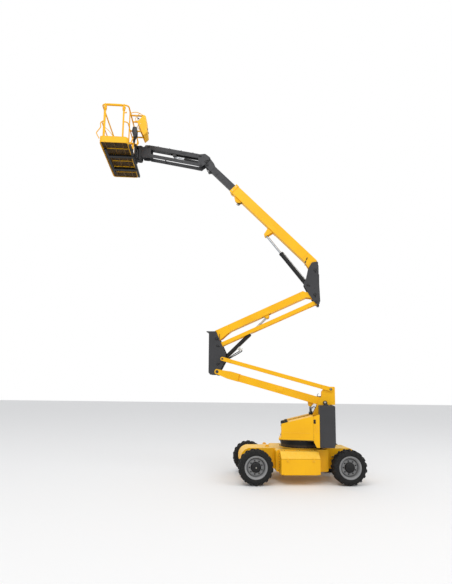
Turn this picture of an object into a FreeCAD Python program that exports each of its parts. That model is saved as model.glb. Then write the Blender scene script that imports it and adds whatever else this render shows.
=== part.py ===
"""Articulating boom lift: two stacked parallelogram arms, a telescopic boom, a jib and a turning basket.

Millimetres, +Z up. The origin is on the ground under the slewing axis, and the machine faces -X.
Sub-parts are drawn in frames whose +X points forward along the boom, +Y to the near side and +Z up.
"""
import FreeCAD, Part
import math
import os
import re

Vector = FreeCAD.Vector
Rotation = FreeCAD.Rotation
Placement = FreeCAD.Placement
X_AXIS = Vector(1, 0, 0)
Y_AXIS = Vector(0, 1, 0)
Z_AXIS = Vector(0, 0, 1)

doc = FreeCAD.newDocument("BoomLift")

# Driving dimensions
# Each row is alias, value, meaning. Lengths are in millimetres and angles in degrees.
SIZES = [
    ("wheel_radius", 400, "tyre outer radius"),
    ("tyre_width", 280, "tyre width"),
    ("tyre_bead_radius", 236, "inner radius of the tyre, where the rim seats"),
    ("lug_depth", 22, "height of the tread lugs"),
    ("lug_width", 54, "width of a tread lug round the tyre"),
    ("lug_count", 12, "lugs on each shoulder of a tyre"),
    ("flange_reach", 26, "reach of the rim's outer flange over the tyre"),
    ("wheel_track", 1520, "distance between wheel centres across the machine"),
    ("front_axle_x", 1200, "front axle ahead of the slewing axis"),
    ("rear_axle_x", 950, "rear axle behind the slewing axis"),
    ("hub_radius", 92, "hub and planetary drive radius"),
    ("spindle_radius", 34, "wheel spindle radius"),
    ("kingpin_y", 560, "kingpin axis from the centre plane"),
    ("kingpin_radius", 24, "kingpin radius"),
    ("axle_beam_width", 150, "axle beam, fore and aft"),
    ("axle_beam_height", 150, "axle beam, vertical"),
    ("tie_rod_radius", 16, "steering tie rod radius"),
    ("steer_arm_back", 190, "steering arm length behind the kingpin"),
    ("chassis_half_width", 330, "narrow chassis box between the wheels, half width"),
    ("chassis_floor", 290, "underside of the chassis box"),
    ("deck_height", 762, "top of the chassis deck"),
    ("nose_x", 1500, "front of the rounded nose"),
    ("nose_radius", 300, "radius of the rounded nose"),
    ("tail_x", 1240, "rear end of the chassis"),
    ("waist_half_width", 600, "wide middle of the chassis, half width"),
    ("waist_front_x", 700, "front face of the wide middle"),
    ("waist_rear_x", 530, "rear face of the wide middle"),
    ("waist_floor", 262, "underside of the wide middle"),
    ("locker_front_x", 630, "front face of the battery locker"),
    ("locker_rear_x", 262, "rear face of the battery locker"),
    ("locker_outer_y", 880, "outer face of the battery locker"),
    ("locker_floor", 241, "underside of the battery locker"),
    ("locker_top", 742, "top of the battery locker"),
    ("locker_bevel", 142, "height of the sloped lid edge"),
    ("locker_bevel_run", 150, "width of the sloped lid edge"),
    ("ring_radius", 470, "slewing ring outer radius"),
    ("ring_bore", 330, "slewing ring inner radius"),
    ("ring_height", 88, "slewing ring height"),
    ("ring_gap", 0.5, "running gap between ring and turntable"),
    ("turntable_radius", 480, "turntable disc radius"),
    ("turntable_height", 118, "turntable disc height"),
    ("floor_plate", 16, "turret floor plate thickness"),
    ("turret_yaw", 13, "turret turned from straight ahead"),
    ("turret_half_width", 750, "outer face of the turret covers"),
    ("cover_inner_y", 165, "inner edge of the turret covers"),
    ("cover_front_x", 486, "front foot of the turret covers"),
    ("cover_rear_x", 312, "rear edge of the turret covers"),
    ("cover_brow_z", 1352, "front top of the turret covers"),
    ("cover_crown_z", 1548, "rear top of the turret covers"),
    ("cover_lip", 58, "reach of the covers' front foot"),
    ("cover_lip_height", 42, "height of the covers' front foot"),
    ("cover_bevel", 52, "sloped edge along the covers' crown"),
    ("cover_skin", 6, "cover skin thickness"),
    ("cover_gap", 4, "gap behind the covers"),
    ("seat_gap", 0.3, "gap under a closed cover"),
    ("hinge_radius", 12, "hinge barrel radius of the covers"),
    ("hinge_pin_radius", 6, "hinge pin radius of the covers"),
    ("hinge_drop", 14, "hinge axis below the covers' crown"),
    ("pillar_rear_x", 450, "rear face of the side pillars"),
    ("pillar_thickness", 12, "side pillar plate"),
    ("pillar_foot", 836, "lowest edge of the side pillars"),
    ("weight_front_x", 456, "front face of the counterweight"),
    ("weight_rear_x", 806, "rear face of the counterweight"),
    ("weight_foot", 842, "underside of the counterweight"),
    ("weight_top", 1786, "top of the counterweight"),
    ("weight_chamfer", 16, "chamfer of the counterweight's rear edges"),
    ("mast_inner_y", 132, "inner face of the mast plates"),
    ("mast_plate", 16, "mast plate thickness"),
    ("mast_rear_x", 860, "rear edge of the mast plates"),
    ("mast_top", 2232, "top of the mast plates"),
    ("plate_gap", 6, "side gap between moving plates"),
    ("pin_radius", 28, "main hinge pin radius"),
    ("small_pin_radius", 20, "small hinge pin radius"),
    ("pin_clearance", 0.1, "radial clearance of pins in their bores"),
    ("pin_head", 8, "height of a pin's head"),
    ("riser_pivot_x", -620, "lower arm pivot along the boom plane"),
    ("riser_pivot_z", 1840, "lower arm pivot height"),
    ("lower_arm_length", 2810, "lower arm between pins"),
    ("lower_arm_angle", 15.4, "lower arm above level"),
    ("lower_arm_height", 190, "lower arm tube height"),
    ("lower_arm_half_width", 122, "lower arm tube half width"),
    ("ear_plate", 24, "fork ear thickness"),
    ("tube_wall", 8, "wall of the arm and boom tubes"),
    ("lower_tie_x", -140, "lower tie pins from the arm pins, forward"),
    ("lower_tie_z", 330, "lower tie pins above the arm pins"),
    ("tie_height", 96, "tie bar height"),
    ("tie_width", 36, "tie bar width"),
    ("tie_wall", 5, "wall of the tie bars"),
    ("knuckle_inner_y", 108, "inner face of the knuckle plates"),
    ("knuckle_plate", 16, "knuckle plate thickness"),
    ("upper_pivot_x", 35, "upper arm pin ahead of the lower arm pin on the middle knuckle"),
    ("upper_pivot_z", 863, "upper arm pin above the lower arm pin on the middle knuckle"),
    ("upper_arm_length", 2775, "upper arm between pins"),
    ("upper_arm_angle", 23.7, "upper arm above level, rising to the rear"),
    ("upper_arm_height", 185, "upper arm tube height"),
    ("upper_arm_half_width", 100, "upper arm tube half width"),
    ("upper_arm_lift", 125, "upper arm centre line above its pins"),
    ("upper_tie_x", -30, "upper tie pins from the upper arm pins, forward"),
    ("upper_tie_z", -188, "upper tie pins from the upper arm pins, up"),
    ("upper_tie_gap", 62, "upper tie bars' inner faces from the centre plane"),
    ("boom_pivot_x", -15, "main boom pin from the upper arm pin, forward"),
    ("boom_pivot_z", 644, "main boom pin above the upper arm pin"),
    ("boom_angle", 46.5, "main boom above level"),
    ("boom_front", 3240, "front end of the outer boom from its pin"),
    ("boom_rear", 150, "rear end of the outer boom's tube from its pin"),
    ("boom_height", 240, "outer boom height"),
    ("boom_half_width", 100, "outer boom half width"),
    ("boom_lift", 96, "boom centre line above its pin"),
    ("extension_height", 180, "extension tube height"),
    ("extension_half_width", 72, "extension tube half width"),
    ("extension_rear", 1500, "rear end of the extension from the boom pin"),
    ("extension_front", 4200, "front end of the extension tube from the boom pin"),
    ("level_pin_along", 4389, "level knuckle pin along the boom"),
    ("level_pin_up", 108, "level knuckle pin above the boom pin's line"),
    ("jib_pivot_x", 182, "jib pin ahead of the level knuckle pin"),
    ("jib_pivot_z", 186, "jib pin above the level knuckle pin"),
    ("jib_length", 1560, "jib between pins"),
    ("jib_angle", 15.5, "jib above level"),
    ("jib_height", 120, "jib beam height"),
    ("jib_half_width", 74, "jib beam half width"),
    ("link_drop", 285, "jib links below the jib beam"),
    ("link_back", -10, "jib link pins from the jib pins, forward"),
    ("link_height", 84, "jib link height"),
    ("link_width", 36, "jib link width"),
    ("bracket_inner_y", 80, "inner face of the jib brackets' plates"),
    ("bracket_plate", 15, "jib bracket plate thickness"),
    ("rotator_x", 307, "rotator axis ahead of the outer jib pin"),
    ("rotator_radius", 84, "rotator housing radius"),
    ("rotator_foot", -345, "rotator underside from the outer jib pin"),
    ("rotator_top", 45, "rotator top from the outer jib pin"),
    ("basket_drop", 357, "basket floor below the outer jib pin"),
    ("basket_gap", 193, "basket frame ahead of the rotator axis"),
    ("basket_length", 760, "basket, fore and aft"),
    ("basket_half_width", 915, "basket half width"),
    ("rail_height", 1100, "top rail above the basket floor"),
    ("mid_rail_height", 595, "middle rail above the basket floor"),
    ("rail_radius", 20, "top rail radius"),
    ("mid_rail_radius", 15, "middle rail radius"),
    ("post_radius", 17, "corner post radius"),
    ("entry_post_radius", 23, "entry post radius"),
    ("post_cap", 6, "rise of the entry posts above the top rail"),
    ("toe_skin", 4, "toe board sheet thickness"),
    ("rail_corner", 80, "bend radius of the basket rails"),
    ("toe_board", 140, "toe board height"),
    ("floor_thickness", 34, "basket floor thickness"),
    ("floor_sheet", 6, "basket floor sheet on its ribs"),
    ("floor_bays", 6, "bays between the ribs of the basket floor"),
    ("floor_beam", 70, "beam along the outer edge of the basket's frame, width"),
    ("console_near", 170, "near face of the control console, across the basket"),
    ("console_width", 380, "control console width"),
    ("entry_near_x", 340, "entry post next to the rotator, ahead of the rotator axis"),
    ("entry_far_x", 838, "entry post away from the rotator, ahead of the rotator axis"),
    ("lift_base_x", -330, "lower lift cylinder base pin, forward"),
    ("lift_base_z", 1050, "lower lift cylinder base pin height"),
    ("lift_eye_along", 330, "lower lift cylinder eye along the lower arm"),
    ("lift_eye_up", -150, "lower lift cylinder eye across the lower arm"),
    ("lift_barrel_radius", 50, "lower lift barrel radius"),
    ("lift_rod_radius", 28, "lower lift rod radius"),
    ("lift_barrel_length", 560, "lower lift barrel length"),
    ("lift_rod_length", 566, "lower lift rod length"),
    ("arm_ram_base_x", -5, "arm cylinder base pin from the lower arm pin, forward"),
    ("arm_ram_base_z", 195, "arm cylinder base pin above the lower arm pin"),
    ("arm_ram_eye_along", 1437, "arm cylinder eye along the upper arm"),
    ("arm_ram_eye_up", -10, "arm cylinder eye across the upper arm"),
    ("arm_ram_barrel_radius", 50, "arm cylinder barrel radius"),
    ("arm_ram_rod_radius", 28, "arm cylinder rod radius"),
    ("arm_ram_barrel_length", 1150, "arm cylinder barrel length"),
    ("arm_ram_rod_length", 1250, "arm cylinder rod length"),
    ("boom_ram_base_x", 173, "boom cylinder base pin from the upper arm pin, forward"),
    ("boom_ram_base_z", 254, "boom cylinder base pin above the upper arm pin"),
    ("boom_ram_eye_along", 1631, "boom cylinder eye along the boom"),
    ("boom_ram_eye_up", -199, "boom cylinder eye across the boom"),
    ("boom_ram_barrel_radius", 54, "boom cylinder barrel radius"),
    ("boom_ram_rod_radius", 30, "boom cylinder rod radius"),
    ("boom_ram_barrel_length", 1146, "boom cylinder barrel length"),
    ("boom_ram_rod_length", 1200, "boom cylinder rod length"),
    ("jib_ram_base_x", -10, "jib cylinder base pin from the jib pin, forward"),
    ("jib_ram_base_z", -160, "jib cylinder base pin from the jib pin, up"),
    ("jib_ram_eye_along", 760, "jib cylinder eye along the jib"),
    ("jib_ram_eye_up", -120, "jib cylinder eye across the jib"),
    ("jib_ram_barrel_radius", 34, "jib cylinder barrel radius"),
    ("jib_ram_rod_radius", 19, "jib cylinder rod radius"),
    ("jib_ram_barrel_length", 500, "jib cylinder barrel length"),
    ("jib_ram_rod_length", 505, "jib cylinder rod length"),
]
ALIASES = {alias for alias, value, meaning in SIZES}

sheet = doc.addObject("Spreadsheet::Sheet", "Sizes")
for row, (alias, value, meaning) in enumerate(SIZES, start=1):
    sheet.set(f"A{row}", meaning)
    sheet.set(f"B{row}", str(value))
    sheet.setAlias(f"B{row}", alias)
doc.recompute()


def size(alias):
    """A driving dimension, read from the sheet."""
    return float(sheet.get(alias))


def words(expression):
    """Point each alias in an expression at the sheet."""
    return re.sub(r"[a-z_]+", lambda m: "Sizes." + m.group() if m.group() in ALIASES else m.group(),
                  str(expression))


def bind(item, **expressions):
    """Bind properties of an object to expressions of the driving dimensions."""
    for name, expression in expressions.items():
        item.setExpression(name, words(expression))


def seat(item, at, turn=None):
    """Place an object at a point given by three expressions, turned about itself."""
    if turn:
        item.Placement = Placement(Vector(), turn)
    for letter, expression in zip("xyz", at):
        item.setExpression(f"Placement.Base.{letter}", words(expression))


# Turns that lay a cylinder along an axis
ALONG_X = Rotation(Y_AXIS, 90)
ALONG_Y = Rotation(X_AXIS, -90)


def cylinder(name, radius, height, at, turn=None):
    item = doc.addObject("Part::Cylinder", name)
    bind(item, Radius=radius, Height=height)
    seat(item, at, turn)
    return item


def cross_pin(name, radius, half_length, along, up):
    """A pin across the centre plane, as long on both sides."""
    return cylinder(name, radius, f"2 * ({half_length})", (along, f"-({half_length})", up), ALONG_Y)


def block(name, length, width, height, at):
    item = doc.addObject("Part::Box", name)
    bind(item, Length=length, Width=width, Height=height)
    seat(item, at)
    return item


def fuse(name, pieces):
    item = doc.addObject("Part::MultiFuse", name)
    item.Shapes = pieces
    return item


def cut(name, base, tool):
    item = doc.addObject("Part::Cut", name)
    item.Base = base
    item.Tool = tool
    return item


def corner_arc(before, corner, after, radius):
    """The arc that rounds a corner, as its start, middle and end."""
    back = (before - corner).normalize()
    ahead = (after - corner).normalize()
    half_angle = back.getAngle(ahead) / 2
    reach = radius / math.tan(half_angle)
    centre = corner + (back + ahead).normalize() * (radius / math.sin(half_angle))
    middle = centre + (corner - centre).normalize() * radius
    return corner + back * reach, middle, corner + ahead * reach


def outline_edges(points, closed=True):
    """Lines and arcs through (x, y, corner radius) points."""
    corners = [Vector(x, y, 0) for x, y, radius in points]
    count = len(corners)
    spans = []
    for index, (x, y, radius) in enumerate(points):
        inner = closed or 0 < index < count - 1
        if radius and inner:
            spans.append(corner_arc(corners[index - 1], corners[index], corners[(index + 1) % count], radius))
        else:
            spans.append((corners[index],) * 3)
    edges = []
    last = count if closed else count - 1
    for index, (start, middle, end) in enumerate(spans):
        if start != end:
            edges.append(Part.Arc(start, middle, end))
        following = spans[(index + 1) % count][0]
        if index < last and end.distanceToPoint(following) > 1e-6:
            edges.append(Part.LineSegment(end, following))
    return edges


def sketch_on(body, plane, geometry):
    """A sketch on one of a body's own origin planes."""
    drawing = body.newObject("Sketcher::SketchObject", body.Name + "Sketch")
    support = next(item for item in body.Origin.OriginFeatures if item.Role == plane)
    drawing.AttachmentSupport = (support, [""])
    drawing.MapMode = "FlatFace"
    for edge in geometry:
        drawing.addGeometry(edge, False)
    return drawing


def plate(name, points, thickness, start_y, holes=()):
    """An upright plate with a rounded outline in X and Z, and round holes at (x, z, radius).

    It fills the Y range from start_y, which is an expression, by its thickness.
    """
    body = doc.addObject("PartDesign::Body", name)
    circles = [Part.Circle(Vector(x, z, 0), Z_AXIS, radius) for x, z, radius in holes]
    drawing = sketch_on(body, "XZ_Plane", outline_edges(points) + circles)
    pad = body.newObject("PartDesign::Pad", name + "Pad")
    pad.Profile = drawing
    pad.Reversed = True
    bind(pad, Length=thickness)
    seat(body, ("0", start_y, "0"))
    return body


def twin_plates(name, points, thickness, inner_y, holes=()):
    """Two equal plates, one each side of the centre plane."""
    near = plate(name + "Near", points, thickness, inner_y, holes)
    far = plate(name + "Far", points, thickness, f"-({inner_y}) - ({thickness})", holes)
    return [near, far]


def revolved(name, points):
    """A solid of revolution about Y from an outline of (radius, y, corner radius) points."""
    body = doc.addObject("PartDesign::Body", name)
    drawing = sketch_on(body, "XY_Plane", outline_edges(points))
    turned = body.newObject("PartDesign::Revolution", name + "Revolution")
    turned.Profile = drawing
    turned.ReferenceAxis = (drawing, ["V_Axis"])
    turned.Angle = 360
    return body


def box_tube(name, start, end, height, half_width, wall, centre_z="0", mouth="both"):
    """A hollow rectangular tube along X, open at both ends or at its front only."""
    outer = block(name + "Outer", f"({end}) - ({start})", f"2 * ({half_width})", height,
                  (start, f"-({half_width})", f"({centre_z}) - ({height}) / 2"))
    back = f"({start}) - 10" if mouth == "both" else f"({start}) + ({wall})"
    length = f"({end}) - ({start}) + 20"
    inner = block(name + "Inner", length, f"2 * ({half_width}) - 2 * ({wall})", f"({height}) - 2 * ({wall})",
                  (back, f"-({half_width}) + ({wall})", f"({centre_z}) - ({height}) / 2 + ({wall})"))
    return cut(name, outer, inner)


NODES = []


def node(label, item, frame):
    """Keep an object as a sub-part: its Label names its file."""
    item.Label = label
    item.Placement = frame
    NODES.append(item)
    return item


# Frames
# The ground frame faces forward. The plane frame is the same, turned with the turret.
ground = Placement(Vector(), Rotation(Z_AXIS, 180))
plane = Placement(Vector(), Rotation(Z_AXIS, 180 - size("turret_yaw")))


def shifted(frame, x, z, pitch=0.0):
    """A frame moved in the boom plane and pitched up by an angle."""
    return frame * Placement(Vector(x, 0, z), Rotation(Y_AXIS, -pitch))


def ahead(frame, x, z=0.0):
    return frame * Placement(Vector(x, 0, z), Rotation())


lower_arm_frame = shifted(plane, size("riser_pivot_x"), size("riser_pivot_z"), size("lower_arm_angle"))
lower_tie_frame = shifted(plane, size("riser_pivot_x") + size("lower_tie_x"),
                          size("riser_pivot_z") + size("lower_tie_z"), size("lower_arm_angle"))
middle_frame = shifted(ahead(lower_arm_frame, size("lower_arm_length")), 0, 0, -size("lower_arm_angle"))
upper_arm_frame = shifted(middle_frame, size("upper_pivot_x"), size("upper_pivot_z"),
                          -size("upper_arm_angle"))
upper_tie_frame = shifted(middle_frame, size("upper_pivot_x") + size("upper_tie_x"),
                          size("upper_pivot_z") + size("upper_tie_z"), -size("upper_arm_angle"))
top_frame = shifted(ahead(upper_arm_frame, -size("upper_arm_length")), 0, 0, size("upper_arm_angle"))
boom_frame = shifted(top_frame, size("boom_pivot_x"), size("boom_pivot_z"), size("boom_angle"))
level_frame = shifted(ahead(boom_frame, size("level_pin_along"), size("level_pin_up")), 0, 0,
                      -size("boom_angle"))
jib_frame = shifted(level_frame, size("jib_pivot_x"), size("jib_pivot_z"), size("jib_angle"))
link_frame = shifted(level_frame, size("jib_pivot_x") + size("link_back"),
                     size("jib_pivot_z") - size("link_drop"), size("jib_angle"))
end_frame = shifted(ahead(jib_frame, size("jib_length")), 0, 0, -size("jib_angle"))
basket_frame = (ahead(end_frame, size("rotator_x"), -size("basket_drop"))
                * Placement(Vector(), Rotation(Z_AXIS, size("turret_yaw"))))

pin_bore = size("pin_radius") + size("pin_clearance")
small_bore = size("small_pin_radius") + size("pin_clearance")


# Chassis
def make_chassis_frame():
    """Narrow box with a rounded nose over the axles, and a wide middle that carries the lockers."""
    notch = size("axle_beam_width") / 2
    beam_top = size("wheel_radius") + size("axle_beam_height") / 2
    floor = size("chassis_floor")
    front, rear = size("front_axle_x"), -size("rear_axle_x")
    side = [(-size("tail_x"), size("deck_height"), 120), (-size("tail_x"), floor + 60, 60),
            (rear - notch - 60, floor + 60, 0), (rear - notch, beam_top, 0), (rear + notch, beam_top, 0),
            (rear + notch + 60, floor, 0), (front - notch - 60, floor, 0), (front - notch, beam_top, 0),
            (front + notch, beam_top, 0), (front + notch + 60, floor + 60, 0),
            (size("nose_x"), floor + 60, 120), (size("nose_x"), size("deck_height"), size("nose_radius") - 60)]
    spine = plate("Spine", side, "2 * chassis_half_width", "-chassis_half_width")
    waist_side = [(-size("waist_rear_x"), size("deck_height"), 40), (-size("waist_rear_x"), size("waist_floor"), 40),
                  (size("waist_front_x"), size("waist_floor"), 40), (size("waist_front_x"), size("deck_height"), 60)]
    waist = plate("Waist", waist_side, "2 * waist_half_width", "-waist_half_width")
    return fuse("ChassisFrame", [spine, waist])


def make_locker(name, side):
    """Battery locker with a sloped lid edge, on one side of the chassis."""
    inner, outer = size("waist_half_width"), size("locker_outer_y")
    body = doc.addObject("PartDesign::Body", name)
    section = [(side * inner, size("locker_floor"), 0), (side * outer, size("locker_floor"), 30),
               (side * outer, size("locker_top") - size("locker_bevel"), 24),
               (side * (outer - size("locker_bevel_run")), size("locker_top"), 24),
               (side * inner, size("locker_top"), 0)]
    drawing = sketch_on(body, "YZ_Plane", outline_edges(section))
    pad = body.newObject("PartDesign::Pad", name + "Pad")
    pad.Profile = drawing
    bind(pad, Length="locker_front_x + locker_rear_x")
    seat(body, ("-locker_rear_x", "0", "0"))
    return body


def make_axle(name, x, reach, boss):
    """Axle beam under the chassis box, with an end boss on each side."""
    beam = block(name + "Beam", "axle_beam_width", f"2 * ({reach})", "axle_beam_height",
                 (f"{x} - axle_beam_width / 2", f"-({reach})", "wheel_radius - axle_beam_height / 2"))
    return [beam] + boss


def make_front_axle():
    ends = []
    for side in (-1, 1):
        ends.append(cylinder(f"FrontBoss{side + 1}", "axle_beam_width / 2", "axle_beam_height",
                             ("front_axle_x", f"{side} * kingpin_y", "wheel_radius - axle_beam_height / 2")))
    solid = fuse("FrontBeamBosses", make_axle("Front", "front_axle_x", "kingpin_y", ends))
    bores = [cylinder(f"KingpinBore{side + 1}", "kingpin_radius + pin_clearance", "axle_beam_height + 20",
                      ("front_axle_x", f"{side} * kingpin_y", "wheel_radius - axle_beam_height / 2 - 10"))
             for side in (-1, 1)]
    return cut("FrontAxle", solid, fuse("KingpinBores", bores))


def make_rear_axle():
    """Rear beam with a drive motor at each end and a spindle for each wheel."""
    ends = []
    for side in (-1, 1):
        start = "waist_half_width - 130" if side > 0 else "-waist_half_width - 20"
        ends.append(cylinder(f"DriveMotor{side + 1}", "120", "150", ("-rear_axle_x", start, "wheel_radius"),
                             ALONG_Y))
    ends.append(cross_pin("RearSpindle", "spindle_radius", "wheel_track / 2", "-rear_axle_x", "wheel_radius"))
    return fuse("RearAxle", make_axle("Rear", "-rear_axle_x", "waist_half_width - 130", ends))


def make_steering_knuckle(name, side):
    """C-shaped knuckle round the axle boss, with its kingpin, spindle and steering arm."""
    cheek = "2 * kingpin_radius + 60"
    low = "-axle_beam_height / 2 - plate_gap - 30"
    high = "axle_beam_height / 2 + plate_gap"
    ears = [cylinder(f"{name}Low", "kingpin_radius + 34", "30", ("0", "0", low)),
            cylinder(f"{name}High", "kingpin_radius + 34", "30", ("0", "0", high)),
            cylinder(f"{name}Pin", "kingpin_radius", "axle_beam_height + 2 * plate_gap + 40",
                     ("0", "0", "-axle_beam_height / 2 - plate_gap - 20"))]
    back_y = "axle_beam_width / 2 + plate_gap" if side > 0 else "-axle_beam_width / 2 - plate_gap - 26"
    cheek_start = "0" if side > 0 else "-axle_beam_width / 2 - plate_gap - 26"
    for index, z in enumerate((low, high)):
        ears.append(block(f"{name}Cheek{index}", cheek, "axle_beam_width / 2 + plate_gap + 26", "30",
                          ("-kingpin_radius - 30", cheek_start, z)))
    ears.append(block(f"{name}Back", cheek, "26", "axle_beam_height + 2 * plate_gap + 60",
                      ("-kingpin_radius - 30", back_y, low)))
    spindle_y = "0" if side > 0 else "-wheel_track / 2 + kingpin_y"
    spindle = cylinder(f"{name}Spindle", "spindle_radius", "wheel_track / 2 - kingpin_y",
                       ("0", spindle_y, "0"), ALONG_Y)
    spindle_clip = cylinder(f"{name}SpindleClip", "axle_beam_width / 2 + plate_gap",
                            "axle_beam_height + 2 * plate_gap", ("0", "0", "-axle_beam_height / 2 - plate_gap"))
    ears.append(cut(f"{name}SpindleStub", spindle, spindle_clip))
    arm_outline = [(40, -44, 20), (-size("steer_arm_back") - 36, -44, 34),
                   (-size("steer_arm_back") - 36, 24, 34), (40, 44, 20)]
    arm = doc.addObject("PartDesign::Body", name + "Arm")
    drawing = sketch_on(arm, "XY_Plane", outline_edges(arm_outline))
    pad = arm.newObject("PartDesign::Pad", name + "ArmPad")
    pad.Profile = drawing
    pad.Length = 30
    seat(arm, ("0", "0", low))
    ears.append(arm)
    ears.append(cylinder(f"{name}TiePin", "tie_rod_radius", "30 + 46",
                         ("-steer_arm_back", "0", f"({low}) - 46")))
    return fuse(name, ears)


def make_tie_rod():
    """Tie rod under the front axle, with an eye round each steering arm's pin."""
    eye_z = "wheel_radius - axle_beam_height / 2 - plate_gap - 30 - 40"
    pieces = [cylinder("TieRodBar", "tie_rod_radius - 2", "2 * kingpin_y - 2 * tie_rod_radius - 16",
                       ("front_axle_x - steer_arm_back", "-kingpin_y + tie_rod_radius + 8", f"{eye_z} + 17"),
                       ALONG_Y)]
    bores = []
    for side in (-1, 1):
        pieces.append(cylinder(f"TieEye{side + 1}", "tie_rod_radius + 16", "34",
                               ("front_axle_x - steer_arm_back", f"{side} * kingpin_y", eye_z)))
        bores.append(cylinder(f"TieEyeBore{side + 1}", "tie_rod_radius + pin_clearance", "60",
                              ("front_axle_x - steer_arm_back", f"{side} * kingpin_y", f"{eye_z} - 10")))
    return cut("TieRod", fuse("TieRodSolid", pieces), fuse("TieRodBores", bores))


def tread_row(name, side):
    """A row of lugs on one shoulder; the far row is turned by half a pitch, so the rows stagger."""
    radius, half = size("wheel_radius"), size("tyre_width") / 2
    root = radius - size("lug_depth") - 8
    outline = [(root, side * 14, 0), (radius, side * -4, 0), (radius, side * (half - 24), 0),
               (radius - 52, side * (half - 4), 0), (root - 26, side * (half - 30), 0)]
    body = doc.addObject("PartDesign::Body", name)
    pad = body.newObject("PartDesign::Pad", name + "Pad")
    pad.Profile = sketch_on(body, "XY_Plane", outline_edges(outline))
    bind(pad, Length="lug_width")
    pad.Midplane = True
    row = body.newObject("PartDesign::PolarPattern", name + "Pattern")
    row.Originals = [pad]
    row.Axis = (next(item for item in body.Origin.OriginFeatures if item.Role == "Y_Axis"), [""])
    row.Angle = 360
    bind(row, Occurrences="lug_count")
    body.Tip = row
    if side < 0:
        body.Placement = Placement(Vector(), Rotation(Y_AXIS, 180 / size("lug_count")))
    return body


def make_tyre(name, outward):
    """Industrial tyre: a carcass with one flat for each lug, two staggered rows of lugs, and a seat for the rim."""
    sides = 2 * int(size("lug_count"))
    radius, half = size("wheel_radius"), size("tyre_width") / 2
    tread = radius - size("lug_depth")
    rings = []
    for index, (reach, y) in enumerate([(tread - 62, -half), (tread, -half + 34), (tread, half - 34),
                                        (tread - 62, half)]):
        ring = doc.addObject("Part::RegularPolygon", f"{name}Ring{index}")
        ring.Polygon = sides
        ring.Circumradius = reach / math.cos(math.pi / sides)
        seat(ring, ("0", f"{y}", "0"), Rotation(Y_AXIS, 180 / sides) * ALONG_Y)
        rings.append(ring)
    carcass = doc.addObject("Part::Loft", name + "Carcass")
    carcass.Sections = rings
    carcass.Solid = True
    carcass.Ruled = True
    bores = []
    for suffix, reach, start, depth in (("Bore", "tyre_bead_radius", "-tyre_width", "2 * tyre_width"),
                                        ("FlangeSeat", "tyre_bead_radius + flange_reach + 4",
                                         "tyre_width / 2 - 32" if outward > 0 else "-tyre_width / 2 - 10", "42")):
        bore = doc.addObject("Part::Prism", name + suffix)
        bore.Polygon = sides
        bind(bore, Circumradius=f"({reach}) / {math.cos(math.pi / sides)}", Height=depth)
        seat(bore, ("0", start, "0"), Rotation(Y_AXIS, 180 / sides) * ALONG_Y)
        bores.append(bore)
    return fuse(name, [cut(name + "Ring", carcass, fuse(name + "Bores", bores)), tread_row(name + "LugsNear", 1),
                       tread_row(name + "LugsFar", -1)])


def make_rim(name, outward):
    """Deep dished steel rim with its disc, hub and drive cap, open on the inboard side."""
    half = size("tyre_width") / 2 - 32
    bead, hub = size("tyre_bead_radius"), size("hub_radius")
    bore = size("spindle_radius") + size("pin_clearance")
    out = outward
    flange = bead + size("flange_reach")
    profile = [(bore, out * -20, 0), (hub - 10, out * -20, 0), (hub - 10, out * 30, 0), (bead - 70, out * 40, 0),
               (bead - 34, out * -10, 0), (bead - 20, out * (-half + 14), 0), (bead, out * (-half - 10), 0),
               (bead, out * half, 0), (flange, out * half, 0), (flange, out * (half + 12), 0),
               (flange - 8, out * (half + 18), 0), (bead - 22, out * (half + 6), 0), (bead - 60, out * 62, 16),
               (hub + 22, out * 52, 0), (hub, out * 84, 0), (hub - 36, out * 100, 0), (bore, out * 100, 0)]
    return revolved(name, profile)


def make_slew_ring():
    outer = cylinder("RingOuter", "ring_radius", "ring_height", ("0", "0", "deck_height"))
    inner = cylinder("RingInner", "ring_bore", "ring_height + 20", ("0", "0", "deck_height - 10"))
    return cut("SlewRing", outer, inner)


node("chassis_frame", make_chassis_frame(), ground)
node("battery_locker_near", fuse("LockerNearSolid", [make_locker("LockerNear", 1),
     block("LockerNearStep", "locker_front_x + locker_rear_x - 120", "60", "26",
           ("-locker_rear_x + 60", "locker_outer_y - 60", "locker_floor"))]), ground)
node("battery_locker_far", fuse("LockerFarSolid", [make_locker("LockerFar", -1),
     block("LockerFarStep", "locker_front_x + locker_rear_x - 120", "60", "26",
           ("-locker_rear_x + 60", "-locker_outer_y", "locker_floor"))]), ground)
node("front_axle", make_front_axle(), ground)
node("rear_axle", make_rear_axle(), ground)
node("slew_ring", make_slew_ring(), ground)
for side_name, side in (("near", 1), ("far", -1)):
    knuckle_frame = ground * Placement(
        Vector(size("front_axle_x"), side * size("kingpin_y"), size("wheel_radius")), Rotation())
    node(f"steering_knuckle_{side_name}", make_steering_knuckle(f"Knuckle{side_name.title()}", side),
         knuckle_frame)
node("tie_rod", make_tie_rod(), ground)
for end_name, wheel_x in (("front", size("front_axle_x")), ("rear", -size("rear_axle_x"))):
    for side_name, side in (("near", 1), ("far", -1)):
        wheel_frame = ground * Placement(
            Vector(wheel_x, side * size("wheel_track") / 2, size("wheel_radius")), Rotation())
        title = f"{end_name.title()}{side_name.title()}"
        node(f"tyre_{end_name}_{side_name}", make_tyre(f"Tyre{title}", side), wheel_frame)
        node(f"rim_{end_name}_{side_name}", make_rim(f"Rim{title}", side), wheel_frame)


# Turret
floor_z = "deck_height + ring_height + ring_gap + turntable_height"


def make_turntable():
    """Turntable disc on the ring, with the turret's floor plate."""
    disc = cylinder("TurnDisc", "turntable_radius", "turntable_height",
                    ("0", "0", "deck_height + ring_height + ring_gap"))
    plate_block = block("TurnFloor", "weight_front_x + cover_front_x - 10", "2 * turret_half_width - 60",
                        "floor_plate", ("-weight_front_x", "-turret_half_width + 30", floor_z))
    return fuse("Turntable", [disc, plate_block])


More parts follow.
